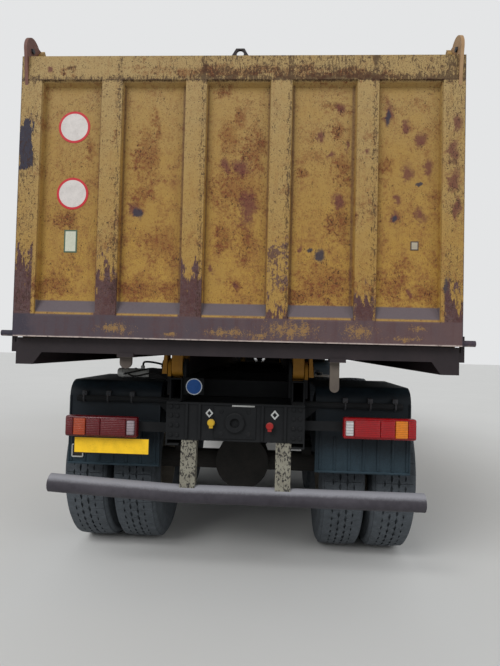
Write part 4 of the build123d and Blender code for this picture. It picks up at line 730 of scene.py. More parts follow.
def bend(points, steps=8):
    # A smooth path through points
    points = [Vector(point) for point in points]
    padded = [points[0] * 2 - points[1]] + points + [points[-1] * 2 - points[-2]]
    path = []
    for index in range(1, len(padded) - 2):
        a, b, c, d = padded[index - 1:index + 3]
        for step in range(steps):
            t = step / steps
            path.append(0.5 * ((2 * b) + (c - a) * t + (2 * a - 5 * b + 4 * c - d) * t * t
                               + (3 * b - a - 3 * c + d) * t ** 3))
    path.append(points[-1])
    return path


# Paths and bands: a rounded frame in two directions, a closed bar along it, and a flat strap round a section
def roundedFrame(halfWidth, halfHeight, corner, steps=5):
    path = []
    for turn, (across, rise) in enumerate(((1, 1), (-1, 1), (-1, -1), (1, -1))):
        for step in range(steps + 1):
            angle = math.radians(90) * (turn + step / steps)
            path.append((across * (halfWidth - corner) + corner * math.cos(angle),
                         rise * (halfHeight - corner) + corner * math.sin(angle)))
    return path


def closedBar(shape, points, radius, flats=6):
    points = [Vector(point) for point in points]
    count = len(points)
    middle = sum(points, Vector()) / count
    rings = []
    for index, point in enumerate(points):
        ahead = (points[(index + 1) % count] - points[index - 1]).normalized()
        outward = point - middle
        outward = (outward - ahead * outward.dot(ahead)).normalized()
        rings.append(ringAt(shape, point, radius, outward, ahead.cross(outward), flats))
    joinRings(shape, zip(rings, rings[1:] + rings[:1]))


def strap(shape, centre, section, along, halfWidth, thick):
    rings = []
    for across, rise in section:
        out = 1 + thick / math.hypot(across, rise)
        corners = [(across, rise), (across * out, rise * out)]
        rings.append([shape.verts.new((centre[0] + first, along + shift, centre[1] + second))
                      for first, second in corners for shift in (-halfWidth, halfWidth)])
    for first, second in zip(rings, rings[1:] + rings[:1]):
        for low, high in ((0, 1), (1, 3), (3, 2), (2, 0)):
            shape.faces.new((first[low], first[high], second[high], second[low]))


# Geometry Nodes: a part repeated round a ring or along a line
class NodeTree:
    def __init__(self, name, inputs):
        self.tree = bpy.data.node_groups.new(name, "GeometryNodeTree")
        self.sockets = {}
        for label, kind, value in inputs:
            socket = self.tree.interface.new_socket(name=label, in_out="INPUT", socket_type=kind)
            if value is not None:
                socket.default_value = value
            self.sockets[label] = socket.identifier
        self.tree.interface.new_socket(name="Geometry", in_out="OUTPUT", socket_type="NodeSocketGeometry")
        self.entry = self.tree.nodes.new("NodeGroupInput")
        self.exit = self.tree.nodes.new("NodeGroupOutput")

    def entryAt(self, label):
        return self.entry.outputs[label]

    def node(self, kind, settings=None, values=None, output=0):
        return addNode(self.tree, kind, settings, values).outputs[output]

    def repeated(self, points, **more):  # the part that comes in, on each of the points
        part = self.node("GeometryNodeObjectInfo", {"transform_space": "ORIGINAL"},
                         {"Object": self.entryAt("Part")}, 4)
        return self.node("GeometryNodeInstanceOnPoints", None, {"Points": points, "Instance": part, **more})

    def close(self, instances):
        solid = self.node("GeometryNodeRealizeInstances", None, {0: instances})
        painted = self.node("GeometryNodeSetMaterial", None, {0: solid, "Material": self.entryAt("Finish")})
        self.tree.links.new(painted, self.exit.inputs[0])
        return self


def ringTree():
    made = NodeTree("partsRoundRing", [
        ("Part", "NodeSocketObject", None), ("Count", "NodeSocketInt", 10),
        ("Radius", "NodeSocketFloat", 0.1),
        ("Centre", "NodeSocketVector", (0, 0, 0)), ("Turn", "NodeSocketVector", (0, 0, 0)),
        ("Finish", "NodeSocketMaterial", None)])
    ring = made.node("GeometryNodeMeshCircle", None,
                     {"Vertices": made.entryAt("Count"), "Radius": made.entryAt("Radius")})
    index = made.node("GeometryNodeInputIndex")
    share = made.node("ShaderNodeMath", {"operation": "DIVIDE"}, {0: index, 1: made.entryAt("Count")})
    angle = made.node("ShaderNodeMath", {"operation": "MULTIPLY"}, {0: share, 1: 2 * math.pi})
    turn = made.node("ShaderNodeCombineXYZ", None, {2: angle})
    placed = made.repeated(ring, Rotation=turn)
    moved = made.node("GeometryNodeTransform", None, {
        "Geometry": placed, "Translation": made.entryAt("Centre"), "Rotation": made.entryAt("Turn")})
    return made.close(moved)


def lineTree():
    made = NodeTree("partsAlongLine", [
        ("Part", "NodeSocketObject", None), ("Count", "NodeSocketInt", 10),
        ("Start", "NodeSocketVector", (0, 0, 0)), ("Step", "NodeSocketVector", (0, 0.1, 0)),
        ("Finish", "NodeSocketMaterial", None)])
    line = made.node("GeometryNodeMeshLine", None,
                     {"Count": made.entryAt("Count"), "Start Location": made.entryAt("Start"),
                      "Offset": made.entryAt("Step")})
    return made.close(made.repeated(line))


ringOfParts = ringTree()
lineOfParts = lineTree()


def partShape(name, build):  # a hidden master that a tree repeats
    return bpy.data.objects.new(name, meshFrom(name, build))


def growMesh(tree, values, finish):  # runs a tree once for a set of values and gives the plain mesh
    holder = bpy.data.objects.new("grower", bpy.data.meshes.new("grower"))
    bpy.context.scene.collection.objects.link(holder)
    modifier = holder.modifiers.new("parts", "NODES")
    modifier.node_group = tree.tree
    for label, value in {**values, "Finish": surfaces[finish]}.items():
        modifier[tree.sockets[label]] = value
    ready = holder.evaluated_get(bpy.context.evaluated_depsgraph_get())
    mesh = bpy.data.meshes.new_from_object(ready)
    holder.modifiers.remove(modifier)
    bpy.data.objects.remove(holder)
    return mesh


def joinMeshes(name, meshes):
    shape = bmesh.new()
    for mesh in meshes:
        shape.from_mesh(mesh)
    joined = bpy.data.meshes.new(name)
    shape.to_mesh(joined)
    shape.free()
    return joined


print("tools ready")

# Tyres: a carcass turned from its profile, with tread blocks repeated round it
tyreLook = {"pitches": 54, "groove": 0.5855, "crown": 0.5994, "shoulderDrop": 0.006, "shoulderAt": 0.125,
            "zigzag": 0.005, "ribHalf": 0.0195, "ribPitch": 0.0485, "outerRib": 2, "outerWider": 0.006,
            "outerReach": 0.004, "outerFoot": 0.009, "footDeep": 0.012, "slit": 0.0022, "flats": 108,
            "still": 0.0001, "halfGap": 0.1725}
carcass = ((0.3056, -0.104), (0.322, -0.118), (0.331, -0.1275), (0.34, -0.129), (0.352, -0.1345),
           (0.39, -0.149), (0.44, -0.1566), (0.478, -0.1572), (0.484, -0.1552), (0.52, -0.1515),
           (0.545, -0.1475), (0.551, -0.1495), (0.562, -0.1465), (0.574, -0.1405), (0.5795, -0.1325),
           (0.5835, -0.122), (0.5855, -0.06), (0.586, 0.0))


def treadPitch(shape):
    look = tyreLook
    half = math.pi * look["crown"] / look["pitches"] - look["slit"]
    for rib in range(-look["outerRib"], look["outerRib"] + 1):
        middle = rib * look["ribPitch"]
        outer = abs(rib) == look["outerRib"]
        wide = look["ribHalf"] + (look["outerWider"] if outer else 0.0)
        columns = []
        for index, along in enumerate((-half, 0.0, half)):
            shift = look["zigzag"] * (1 if index % 2 else -1) * (-1 if rib % 2 else 1)
            ends = [middle - wide + shift, middle + wide + shift]
            feet = list(ends)
            if outer:  # the outer edge runs straight and its wall slants
                edge = 0 if rib < 0 else 1
                way = -1 if rib < 0 else 1
                ends[edge] = middle + way * (wide + look["outerReach"])
                feet[edge] = ends[edge] + way * look["outerFoot"]
            drop = along * along / (2 * look["crown"])
            tops = [look["crown"] - look["shoulderDrop"] * (place / look["shoulderAt"]) ** 2 - drop
                    for place in ends]
            floors = [look["groove"] - look["footDeep"] * (2 if abs(place) > 0.115 else 1) for place in ends]
            columns.append([shape.verts.new(corner) for corner in (
                (floors[0], along, feet[0]), (tops[0], along, ends[0]), (tops[1], along, ends[1]),
                (floors[1], along, feet[1]))])
        for first, second in zip(columns, columns[1:]):
            for index in range(3):
                shape.faces.new((first[index], first[index + 1], second[index + 1], second[index]))
        shape.faces.new(columns[0])
        shape.faces.new(columns[-1][::-1])


treadPart = partShape("treadPart", treadPitch)


def tyreMesh(places, y, z):
    whole = list(carcass) + [(radius, -height) for radius, height in carcass[-2::-1]]
    parts = []
    for x in places:
        parts.append(growMesh(ringOfParts, {
            "Part": treadPart, "Count": tyreLook["pitches"], "Radius": tyreLook["still"], "Centre": (x, y, z),
            "Turn": (0.0, math.pi / 2, 0.0)}, "tyreRubber"))
        turn = Matrix.Translation((x, y, z)) @ Matrix.Rotation(math.pi / 2, 4, "Y")
        parts.append(meshFrom("carcass", lambda shape: revolve(
            shape, whole, turn, tyreLook["flats"], closed=True)))
    return joinMeshes("tyres", parts)


def middleOf(node):
    low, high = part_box(node)
    return [(a + b) / 2 for a, b in zip(low, high)]


bodyOfNode = {node: body for body, nodes in frame["record"]["behaviour"]["bodies"].items() for node in nodes}
for node in nodePaints["tyreRubber"]:
    x, y, z = middleOf(node)
    places = (x - tyreLook["halfGap"], x + tyreLook["halfGap"]) if node.startswith("rear") else (x,)
    placePiece(node + "_treaded", tyreMesh(places, y, z), "tyreRubber", bodyOfNode[node],
               replaces=(node,))
print("tyres treaded")

# Wheel faces: nuts, near-black discs as painted shade for the hand holes, and a hub cap on each outer face
wheelLook = {"nuts": 10, "nutCircle": 0.168, "nutHigh": 0.024, "nutSize": 0.0175, "holes": 8,
             "holeCircle": 0.236, "holeSize": 0.03, "holeHigh": 0.0022, "capRadius": 0.078, "axle": 0.6,
             "rear": {"face": 0.9095, "hub": 1.1271, "out": 0.03},
             "front": {"face": 1.124, "hub": 1.1896, "out": 0.007}}
nutPart = partShape("nutPart", lambda shape: disc(
    shape, (wheelLook["nutCircle"], 0, 0), (0, 0, 1), wheelLook["nutSize"], wheelLook["nutHigh"], 6, 0.003))
holePart = partShape("holePart", lambda shape: disc(
    shape, (wheelLook["holeCircle"], 0, 0), (0, 0, 1), wheelLook["holeSize"], wheelLook["holeHigh"], 20,
    0.0008))
# The hand holes are not cut: each is a thin near-black disc, painted shade where the opening would be
surfaces["holeShade"] = wornSurface("holeShade", {"base": (10, 10, 10), "shade": (18, 17, 16), "chips": 0.0,
                                                "dust": 0.15, "rough": 0.8})


def wheelRing(part, count, face, y, side, finish):
    return growMesh(ringOfParts, {
        "Part": part, "Count": count, "Radius": tyreLook["still"], "Centre": (face, y, wheelLook["axle"]),
        "Turn": (0.0, side * math.pi / 2, 0.0)}, finish)


for node in nodePaints["rimCream"]:
    low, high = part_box(node)
    y = (low[1] + high[1]) / 2
    side = 1 if high[0] > 0 else -1
    body = bodyOfNode[node]
    look = wheelLook[node.split("_")[0]]
    nuts = wheelRing(nutPart, wheelLook["nuts"], side * look["face"], y, side, "nutSteel")
    holes = wheelRing(holePart, wheelLook["holes"], side * look["face"], y, side, "holeShade")
    place = Matrix.Translation((side * look["hub"], y, wheelLook["axle"]))
    place = place @ Matrix.Rotation(side * math.pi / 2, 4, "Y")
    wide, out = wheelLook["capRadius"], look["out"]
    profile = ((0, 0), (wide, 0), (wide, out * 0.7), (wide * 0.93, out * 0.95), (wide * 0.8, out), (0, out))
    placePiece(node + "_nuts", nuts, "nutSteel", body)
    placePiece(node + "_holes", holes, "holeShade", body)
    cap = meshFrom("hubCap", lambda shape: revolve(shape, profile, place, 40))
    placePiece(node + "_cap", cap, "castIron", body)
print("wheel faces dressed")

# Tail lamps: a body behind its lenses, the white one inboard and the amber one outboard
lampLook = {"back": 0.42, "bodyAt": 0.364, "lensAt": 0.351, "lensBack": 0.38, "inset": 0.012,
            "reverseInset": 0.02}
lampParts = {  # inner and outer place of each lens, from the inboard end, as shares of the length
    "reverse": (0.03, 0.135), "brake": (0.15, 0.50), "tail": (0.505, 0.70), "turn": (0.71, 0.875),
    "end": (0.88, 0.985),
}
# The left lamp wears the darker lens copies: painted shade
lampSets = {  # inboard and outboard end, lower and upper edge
    "Left": ((0.62, 1.08), (0.91, 1.04), {"reverse": "shadedClearLens", "turn": "shadedAmberLens"}, "shadedRedLens"),
    "Right": ((0.67, 1.115), (0.95, 1.08), {"reverse": "clearLens", "turn": "amberLens"}, "redLens"),
}
for side, tag in sides:
    (inboard, outboard), (low, high), others, red = lampSets[tag]
    meshPiece(f"lampBody{tag}", lambda shape: sideSlab(
        shape, side, (inboard, outboard), (lampLook["bodyAt"], lampLook["back"]), (low, high), 0.012, 3),
        red, "chassis")
    for part, shares in lampParts.items():
        inset = lampLook["reverseInset" if part == "reverse" else "inset"]
        ends = [inboard + (outboard - inboard) * share for share in shares]
        meshPiece(f"lamp{tag}_{part}", lambda shape: sideSlab(
            shape, side, ends, (lampLook["lensAt"], lampLook["lensBack"]), (low + inset, high - inset),
            0.006, 3),
            others.get(part, red), "chassis")
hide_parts("tail_lamps")
print("lamps set")

# Number plate and signs, all blank: a card's half size or a disc's radius, and the border's width as ring
cards = {
    "plainPlate": {"finish": "plateYellow", "middle": (-0.795, 0.8475), "half": (0.245, 0.0525),
                   "edge": 0.001, "face": (246, 198, 34), "border": (24, 22, 20), "ring": 0.005,
                   "along": (0.4172, 0.4202), "body": "chassis"},
    "cardSign": {"finish": "cardGreen", "middle": (-0.9508, 2.0817), "half": (0.038, 0.0652), "edge": 0.0007,
                 "face": (196, 198, 180), "border": (72, 92, 74), "ring": 0.008, "along": (0.0433, 0.0453),
                 "body": "tailgate"},
    "tagSign": {"finish": "tagPale", "middle": (0.996, 2.0832), "half": (0.0222, 0.0252), "edge": 0.0007,
                "face": (170, 160, 140), "border": (70, 60, 56), "ring": 0.006, "along": (0.0433, 0.0453),
                "body": "tailgate"},
}
roundLook = {"radius": 0.0925, "thick": 0.0022, "face": (208, 202, 198), "border": (186, 34, 44),
             "ring": 0.0135, "along": 0.0453, "flats": 64, "body": "tailgate"}
discs = {
    "roundSign0": {"finish": "discWhite0", "middle": (-0.9503, 2.7445), **roundLook},
    "roundSign1": {"finish": "discWhite1", "middle": (-0.9483, 2.3573), **roundLook},
    "blueSign": {"finish": "discBlue", "middle": (-0.276, 1.238), "radius": 0.0525, "thick": 0.0025,
                 "face": (24, 82, 156), "border": (206, 214, 222), "ring": 0.0055, "along": 0.4375,
                 "flats": 48, "body": "chassis"},
}


def fitCard(name):
    look = cards[name]
    middle, half = look["middle"], look["half"]
    surfaces[look["finish"]] = plainSign(look["finish"], look["face"], look["border"], middle,
                                         ring=look["ring"],
                                         half=half)
    low, high = ([middle[axis] + way * half[axis] for axis in range(2)] for way in (-1, 1))
    meshPiece(name, lambda shape: slab(shape, (low[0], tailY + look["along"][0], low[1]),
                                       (high[0], tailY + look["along"][1], high[1]), look["edge"]),
              look["finish"], look["body"], smooth=False)


def fitDisc(name):
    look = discs[name]
    surfaces[look["finish"]] = plainSign(look["finish"], look["face"], look["border"], look["middle"],
                                         look["radius"], look["ring"])
    across, height = look["middle"]
    meshPiece(name, lambda shape: disc(
        shape, (across, tailY + look["along"], height), (0, -1, 0), look["radius"], look["thick"],
        look["flats"], 0.0006), look["finish"], look["body"])


fitCard("plainPlate")
fitDisc("roundSign0")
fitDisc("roundSign1")
fitCard("cardSign")
fitCard("tagSign")
fitDisc("blueSign")
meshPiece("signBracket", lambda shape: slab(
    shape, (-0.349, tailY + 0.4372, 1.185), (-0.212, tailY + 0.4452, 1.295), 0.002),
    "chassisBlack", "chassis")
print("plates and signs fitted")

# Mudguards: pressed ribs, a rolled lip, and strap clamps on the carrying tube
guardLook = {"face": 0.55, "ribs": 7, "firstRib": 0.547, "ribPitch": 0.0935, "ribHalf": 0.009,
             "ribProud": 0.006, "ribLow": 0.712, "ribTops": (0.965, 0.93), "lip": 0.011,
             "ends": (0.512, 1.128), "flanks": (0.518, 1.122), "clamps": (0.70, 0.86, 1.02),
             "tubeAlong": 0.5297, "tubeHigh": 1.135, "tubeReach": 0.024}


def guardDress(shape, side):
    look = guardLook
    face, half = look["face"], look["ribHalf"]
    for index in range(look["ribs"]):
        reach = look["firstRib"] + look["ribPitch"] * index
        sideSlab(shape, side, (reach - half, reach + half), (face - look["ribProud"], face + 0.003),
                 (look["ribLow"], look["ribTops"][index % 2]), 0.004)
    sideSlab(shape, side, look["ends"], (face - look["lip"], face + 0.004), (0.695, 0.709), 0.004)
    sideSlab(shape, side, look["ends"], (face - 0.006, face + 0.003), (0.985, 0.996), 0.003)
    for reach in look["flanks"]:
        sideSlab(shape, side, (reach - 0.006, reach + 0.006), (face - 0.008, face + 0.003), (0.7, 1.15),
                 0.003)


def clampShape(shape, x):  # a strap round the tube with a bolted ear above it
    y, z = tailY + guardLook["tubeAlong"], guardLook["tubeHigh"]
    reach = guardLook["tubeReach"]
    path = [(x, y - reach * math.sin(0.35 * step), z + reach * math.cos(0.35 * step)) for step in range(10)]
    for first, second in zip(path, path[1:]):
        tube(shape, (first, second), 0.006, 6)
    slab(shape, (x - 0.016, y - 0.012, z + 0.018), (x + 0.016, y + 0.02, z + 0.05), 0.003)
    disc(shape, (x, y - 0.01, z + 0.036), (0, -1, 0), 0.009, 0.008, 6, 0.0015)


def guardClamps(shape, side):
    for reach in guardLook["clamps"]:
        clampShape(shape, side * reach)


for side, tag in sides:
    meshPiece(f"guardRibs{tag}", lambda shape: guardDress(shape, side), "guardPlastic", "chassis")
for side, tag in sides:
    meshPiece(f"guardClamps{tag}", lambda shape: guardClamps(shape, side), "hookSteel", "chassis")
print("mudguards dressed")

# Tailgate: a bolt and washer outside each ear and a bolt inside
earLook = {"bolt": 0.016, "washer": 0.025, "outer": 1.229, "inner": 1.211, "along": 0.035, "height": 3.185}


def earBolts(shape, side):
    look = earLook
    for reach, way, radius, high, flats, bevel in (
            (look["outer"] - 0.002, side, look["washer"], 0.006, 24, 0.0015),
            (look["outer"] + 0.003, side, look["bolt"], 0.011, 6, 0.002),
            (look["inner"] + 0.002, -side, look["bolt"], 0.012, 6, 0.002)):
        disc(shape, (side * reach, tailY + look["along"], look["height"]), (way, 0, 0), radius, high,
             flats, bevel)


for side, tag in sides:
    meshPiece(f"earBolts{tag}", lambda shape: earBolts(shape, side), "hookSteel", "tailgate")
print("tailgate hardware fitted")


# Chassis: bolt lines along the rails, and what stands on the end member's rear face
chassisLook = {"railFace": 0.43, "boltRadius": 0.011, "boltHigh": 0.009, "pitch": 0.15,
               "rows": (0.915, 1.115), "firstBolt": 0.5, "bolts": 32, "memberAt": 0.34}
for side, tag in sides:
    bolt = partShape("railBolt", lambda shape: disc(shape, (0, 0, 0), (side, 0, 0), chassisLook["boltRadius"],
                                                    chassisLook["boltHigh"], 6, 0.002))
    start = side * (chassisLook["railFace"] - 0.001), tailY + chassisLook["firstBolt"]
    rows = [growMesh(lineOfParts, {
        "Part": bolt, "Count": chassisLook["bolts"], "Step": (0.0, chassisLook["pitch"], 0.0),
        "Start": (*start, height)}, "hookSteel") for height in chassisLook["rows"]]
    placePiece(f"railBolts{tag}", joinMeshes("railBolts", rows), "hookSteel", "chassis")
memberY = tailY + chassisLook["memberAt"]
memberLook = {"webBolts": ((-0.40, -0.36, 0.36, 0.40), (0.945, 1.005, 1.065, 1.12), 0.0125, 0.010, 0.002),
              "hookBolts": ((-0.085, 0.085), (0.96, 1.10), 0.016, 0.012, 0.003),
              "ribs": (-0.30, -0.22, 0.17, 0.31), "ribHalf": 0.008, "ribHigh": (0.92, 1.14)}


def rearBolts(shape, across, heights, radius, high, bevel):
    for reach in across:
        for height in heights:
            disc(shape, (reach, memberY + 0.001, height), (0, -1, 0), radius, high, 6, bevel)


def endMemberFittings(shape):
    rearBolts(shape, *memberLook["webBolts"])
    rearBolts(shape, *memberLook["hookBolts"])
    slab(shape, (-0.13, memberY - 0.008, 0.93), (0.13, memberY + 0.001, 1.13), 0.004)
    disc(shape, (0, memberY - 0.006, 1.03), (0, -1, 0), 0.062, 0.022, 28, 0.006, 0.03)
    half, (low, high) = memberLook["ribHalf"], memberLook["ribHigh"]
    for across in memberLook["ribs"]:
        slab(shape, (across - half, memberY - 0.012, low), (across + half, memberY + 0.001, high), 0.003)
    slab(shape, (-0.43, memberY - 0.006, 1.134), (0.43, memberY + 0.004, 1.148), 0.003)


meshPiece("endMemberFittings", endMemberFittings, "chassisBlack", "chassis")
meshPiece("endMemberLip", lambda shape: slab(
    shape, (-0.02, memberY - 0.0065, 1.129), (0.12, memberY - 0.003, 1.139), 0.001), "valveGrey", "chassis")


def diamonds(shape):
    for across, height, half in ((-0.16, 1.085, 0.024), (0.245, 1.085, 0.026)):
        centre = Vector((across, memberY - 0.0005, height))
        corners = [(half, 0), (0, half * 1.15), (-half, 0), (0, -half * 1.15)]
        front, hole, back, holeBack = (
            [shape.verts.new(centre + Vector((first * size, lift, second * size)))
             for first, second in corners]
            for size, lift in ((1, -0.004), (0.55, -0.004), (1, 0.0005), (0.55, 0.0005)))
        for low, high in ((front, hole), (hole, holeBack), (holeBack, back), (back, front)):
            joinRings(shape, ((low, high),))


meshPiece("diamondReflectors", diamonds, "reflectWhite", "chassis", smooth=False)


def coupling(across, height):
    def build(shape):
        disc(shape, (across, memberY + 0.001, height), (0, -1, 0), 0.011, 0.02, 12)
        disc(shape, (across, memberY - 0.018, height), (0, -1, 0), 0.023, 0.022, 20, 0.005)
        slab(shape, (across - 0.012, memberY - 0.036, height - 0.034),
             (across + 0.012, memberY - 0.022, height - 0.018), 0.003)
    return build


meshPiece("airCouplingYellow", coupling(-0.145, 1.03), "couplingYellow", "chassis")
meshPiece("airCouplingRed", coupling(0.215, 1.02), "couplingRed", "chassis")

# A valve ahead of the left guard, with its bracket and three rigid pipes
valveLook = {"ends": (-0.84, -0.60), "place": (tailY + 0.66, 1.305), "radius": 0.03,
             "bands": (0.12, 0.5, 0.88)}


def valveBody(shape):
    (low, high), (y, z), radius = valveLook["ends"], valveLook["place"], valveLook["radius"]
    disc(shape, (low, y, z), (1, 0, 0), radius, high - low, 24, 0.006)
    for share in valveLook["bands"]:
        disc(shape, (low + (high - low) * share - 0.008, y, z), (1, 0, 0), radius + 0.004, 0.016, 24, 0.002)
    disc(shape, (low + 0.05, y, z - 0.01), (0, -1, 0), 0.016, 0.05, 12, 0.003)
    disc(shape, (high - 0.07, y, z), (0, 0, 1), 0.014, 0.05, 12, 0.003)


def valvePipes(shape):
    (low, high), (y, z) = valveLook["ends"], valveLook["place"]
    slab(shape, (-0.62, y - 0.03, z - 0.035), (-0.43, y - 0.022, z + 0.035), 0.002)
    slab(shape, (-0.64, y - 0.03, z - 0.035), (-0.60, y + 0.03, z - 0.028), 0.002)
    for lift, reach in ((0.012, 0.05), (-0.02, 0.085)):
        pipe = ((low + reach, y - 0.045, z - 0.01), (-0.70, y - 0.075, z + lift),
                (-0.56, y - 0.06, z + 0.02 + lift), (-0.432, y - 0.05, z - 0.06 + lift))
        tube(shape, bend(pipe, 6), 0.006, 8)
    tube(shape, bend(((high - 0.07, y, z + 0.048), (-0.66, y + 0.03, z + 0.075),
                      (-0.56, y + 0.08, z + 0.06), (-0.45, y + 0.1, z + 0.01),
                      (-0.432, y + 0.12, z - 0.04)), 6), 0.007, 8)


meshPiece("valveBody", valveBody, "valveGrey", "chassis")
meshPiece("valvePipes", valvePipes, "rubber", "chassis")
reflectorPath = [(-1.06 + across, tailY + 0.5355, 0.785 + rise)
                 for across, rise in roundedFrame(0.036, 0.04, 0.006, 2)]
meshPiece("reflectorFrame", lambda shape: closedBar(shape, reflectorPath, 0.005), "reflectWhite", "chassis")
meshPiece("reflectorBack", lambda shape: slab(
    shape, (-1.094, tailY + 0.5365, 0.748), (-1.026, tailY + 0.5435, 0.822), 0.002), "rubber", "chassis")


def hingeEnds(shape):
    for side in (-1, 1):
        disc(shape, (side * 0.487, tailY + 0.5, 1.36), (side, 0, 0), 0.043, 0.006, 28, 0.002)
        disc(shape, (side * 0.493, tailY + 0.5, 1.36), (side, 0, 0), 0.008, 0.012, 8, 0.002)


meshPiece("hingePinEnds", hingeEnds, "hookSteel", "chassis")
print("chassis fittings placed")

# Side fittings: tank straps and cap, air tank bands, battery lid and latches, exhaust outlet
tankLook = {"left": 0.56, "z": (0.56, 1.12), "corner": 0.11, "straps": (3.87, 4.54), "halfWidth": 0.028,
            "thick": 0.004, "cap": (0.9, 4.62)}
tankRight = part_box("fuel_tank")[1][0]


def tankDress(shape):
    look = tankLook
    low, high = look["z"]
    centre = ((look["left"] + tankRight) / 2, (low + high) / 2)
    section = roundedFrame((tankRight - look["left"]) / 2, (high - low) / 2, look["corner"], 8)
    for along in look["straps"]:
        strap(shape, centre, section, tailY + along, look["halfWidth"], look["thick"])
        disc(shape, (tankRight + 0.003, tailY + along, centre[1]), (1, 0, 0), 0.013, 0.012, 6, 0.002)
    across, along = look["cap"]
    disc(shape, (across, tailY + along, high - 0.002), (0, 0, 1), 0.042, 0.018, 24, 0.003)
    disc(shape, (across, tailY + along, high + 0.014), (0, 0, 1), 0.05, 0.024, 12, 0.005)


meshPiece("tankStraps", tankDress, "darkPlastic", "chassis")


airTankLook = {"across": (-0.68, -0.97), "height": 0.92, "radius": 0.1265, "turn": 18,
               "bands": (3.655, 4.095), "halfWidth": 0.018, "thick": 0.004, "drain": (3.88, 0.797)}


def airTankBands(shape):
    look = airTankLook
    turns = [math.radians(degrees) for degrees in range(0, 360, look["turn"])]
    ring = [(look["radius"] * math.cos(turn), look["radius"] * math.sin(turn)) for turn in turns]
    drainAlong, drainHigh = look["drain"]
    for across in look["across"]:
        for along in look["bands"]:
            strap(shape, (across, look["height"]), ring, tailY + along, look["halfWidth"], look["thick"])
        disc(shape, (across, tailY + drainAlong, drainHigh), (0, 0, -1), 0.012, 0.016, 8, 0.002)


meshPiece("airTankBands", airTankBands, "hookSteel", "chassis")


batteryLook = {"face": -1.124, "inner": -0.556, "lidAlong": (4.346, 4.954), "lidHigh": (0.962, 1.046),
               "latches": (4.48, 4.82), "latchHalf": 0.018, "latchHigh": (0.90, 0.985),
               "ribs": (0.70, 0.77, 0.84), "ribHalf": 0.006, "ribAlong": (4.40, 4.90)}


def batteryLid(shape):
    look = batteryLook
    face = look["face"]
    (back, front), (low, high) = look["lidAlong"], look["lidHigh"]
    slab(shape, (face, tailY + back, low), (look["inner"], tailY + front, high), 0.016, 3)
    half, (low, high) = look["latchHalf"], look["latchHigh"]
    for along in (tailY + place for place in look["latches"]):
        slab(shape, (face - 0.008, along - half, low), (face + 0.005, along + half, high), 0.004)
    half, (back, front) = look["ribHalf"], look["ribAlong"]
    for height in look["ribs"]:
        slab(shape, (face, tailY + back, height - half), (face + 0.006, tailY + front, height + half), 0.003)


meshPiece("batteryLid", batteryLid, "darkPlastic", "chassis")


def exhaustOutlet(shape):
    tube(shape, bend(((0.82, tailY + 4.905, 0.80), (0.82, tailY + 4.84, 0.80), (0.86, tailY + 4.80, 0.77),
                      (0.95, tailY + 4.79, 0.70), (1.0, tailY + 4.79, 0.66)), 6), 0.045, 20)
    disc(shape, (0.82, tailY + 4.902, 0.80), (0, -1, 0), 0.06, 0.012, 24, 0.003)
    for across in (0.60, 0.68, 0.96, 1.04):
        slab(shape, (across - 0.006, tailY + 4.93, 1.058), (across + 0.006, tailY + 5.40, 1.066), 0.002)


meshPiece("exhaustOutlet", exhaustOutlet, "nutSteel", "chassis")
print("side fittings placed")


# Cab trim: rubber seals, handles, wipers, mirrors' glass, roof hatch, lamps and step treads
doorGlass = {"along": (6.27, 7.02), "z": (2.03, 2.73), "corner": 0.05}
screenGlass = {"half": 1.0, "z": (2.05, 2.81), "corner": 0.06}
rearGlass = {"half": 0.55, "z": (2.19, 2.61), "corner": 0.05, "along": 5.853}
trimLook = {"sealInset": 0.004, "sealRadius": 0.011, "screenSeal": 0.013, "rearSeal": 0.012, "sunk": 0.006,
            "handle": (6.24, 6.37), "handleHigh": 1.9, "strip": (6.20, 7.09), "stripHigh": (1.56, 1.60)}


def sideFace(height):
    return cabLook["half"] - max(height - cabLook["screenLow"], 0.0) * cabLook["taper"]


def screenFace(height):
    return tailY + cabLook["screenAt"] - (height - cabLook["screenLow"]) * cabLook["lean"]


def sealPath(halfWidth, glass):
    low, high = glass["z"]
    inset = trimLook["sealInset"]
    path = roundedFrame(halfWidth - inset, (high - low) / 2 - inset, glass["corner"], 4)
    return [(across, (low + high) / 2 + rise) for across, rise in path]


def doorSeal(shape, side):
    low, high = doorGlass["along"]
    middle = tailY + (low + high) / 2
    points = [(side * (sideFace(height) - trimLook["sunk"]), middle + across, height)
              for across, height in sealPath((high - low) / 2, doorGlass)]
    closedBar(shape, points, trimLook["sealRadius"])


def doorFurniture(shape, side):
    low, high = trimLook["handle"]
    z = trimLook["handleHigh"]
    sideSlab(shape, side, (1.197, 1.203), (low - 0.012, high + 0.012), (z - 0.045, z + 0.035), 0.002)
    sideSlab(shape, side, (1.21, 1.226), (low, high), (z, z + 0.022), 0.006, 3)
    for along in (low + 0.012, high - 0.012):
        sideSlab(shape, side, (1.20, 1.214), (along - 0.008, along + 0.008), (z + 0.003, z + 0.019), 0.002)
    disc(shape, (side * 1.202, tailY + (low + high) / 2, z - 0.024), (side, 0, 0), 0.011, 0.005, 16, 0.001)
    sideSlab(shape, side, (1.198, 1.206), trimLook["strip"], trimLook["stripHigh"], 0.004)


for side, tag in sides:
    door = f"door_{tag.lower()}"
    meshPiece(f"doorSeal{tag}", lambda shape: doorSeal(shape, side), "rubber", door)
    meshPiece(f"doorFurniture{tag}", lambda shape: doorFurniture(shape, side), "darkPlastic", door)
    meshPiece(f"mirrorFace{tag}", lambda shape: sideSlab(
        shape, side, (1.312, 1.44), (7.1975, 7.2005), (2.105, 2.475), 0.0012), "mirrorFace", "cab",
        smooth=False)


def screenSeals(shape):
    front = [(across, screenFace(height) - trimLook["sunk"], height)
             for across, height in sealPath(screenGlass["half"], screenGlass)]
    rear = [(across, tailY + rearGlass["along"], height)
            for across, height in sealPath(rearGlass["half"], rearGlass)]
    closedBar(shape, front, trimLook["screenSeal"])
    closedBar(shape, rear, trimLook["rearSeal"])


meshPiece("screenSeals", screenSeals, "rubber", "cab")


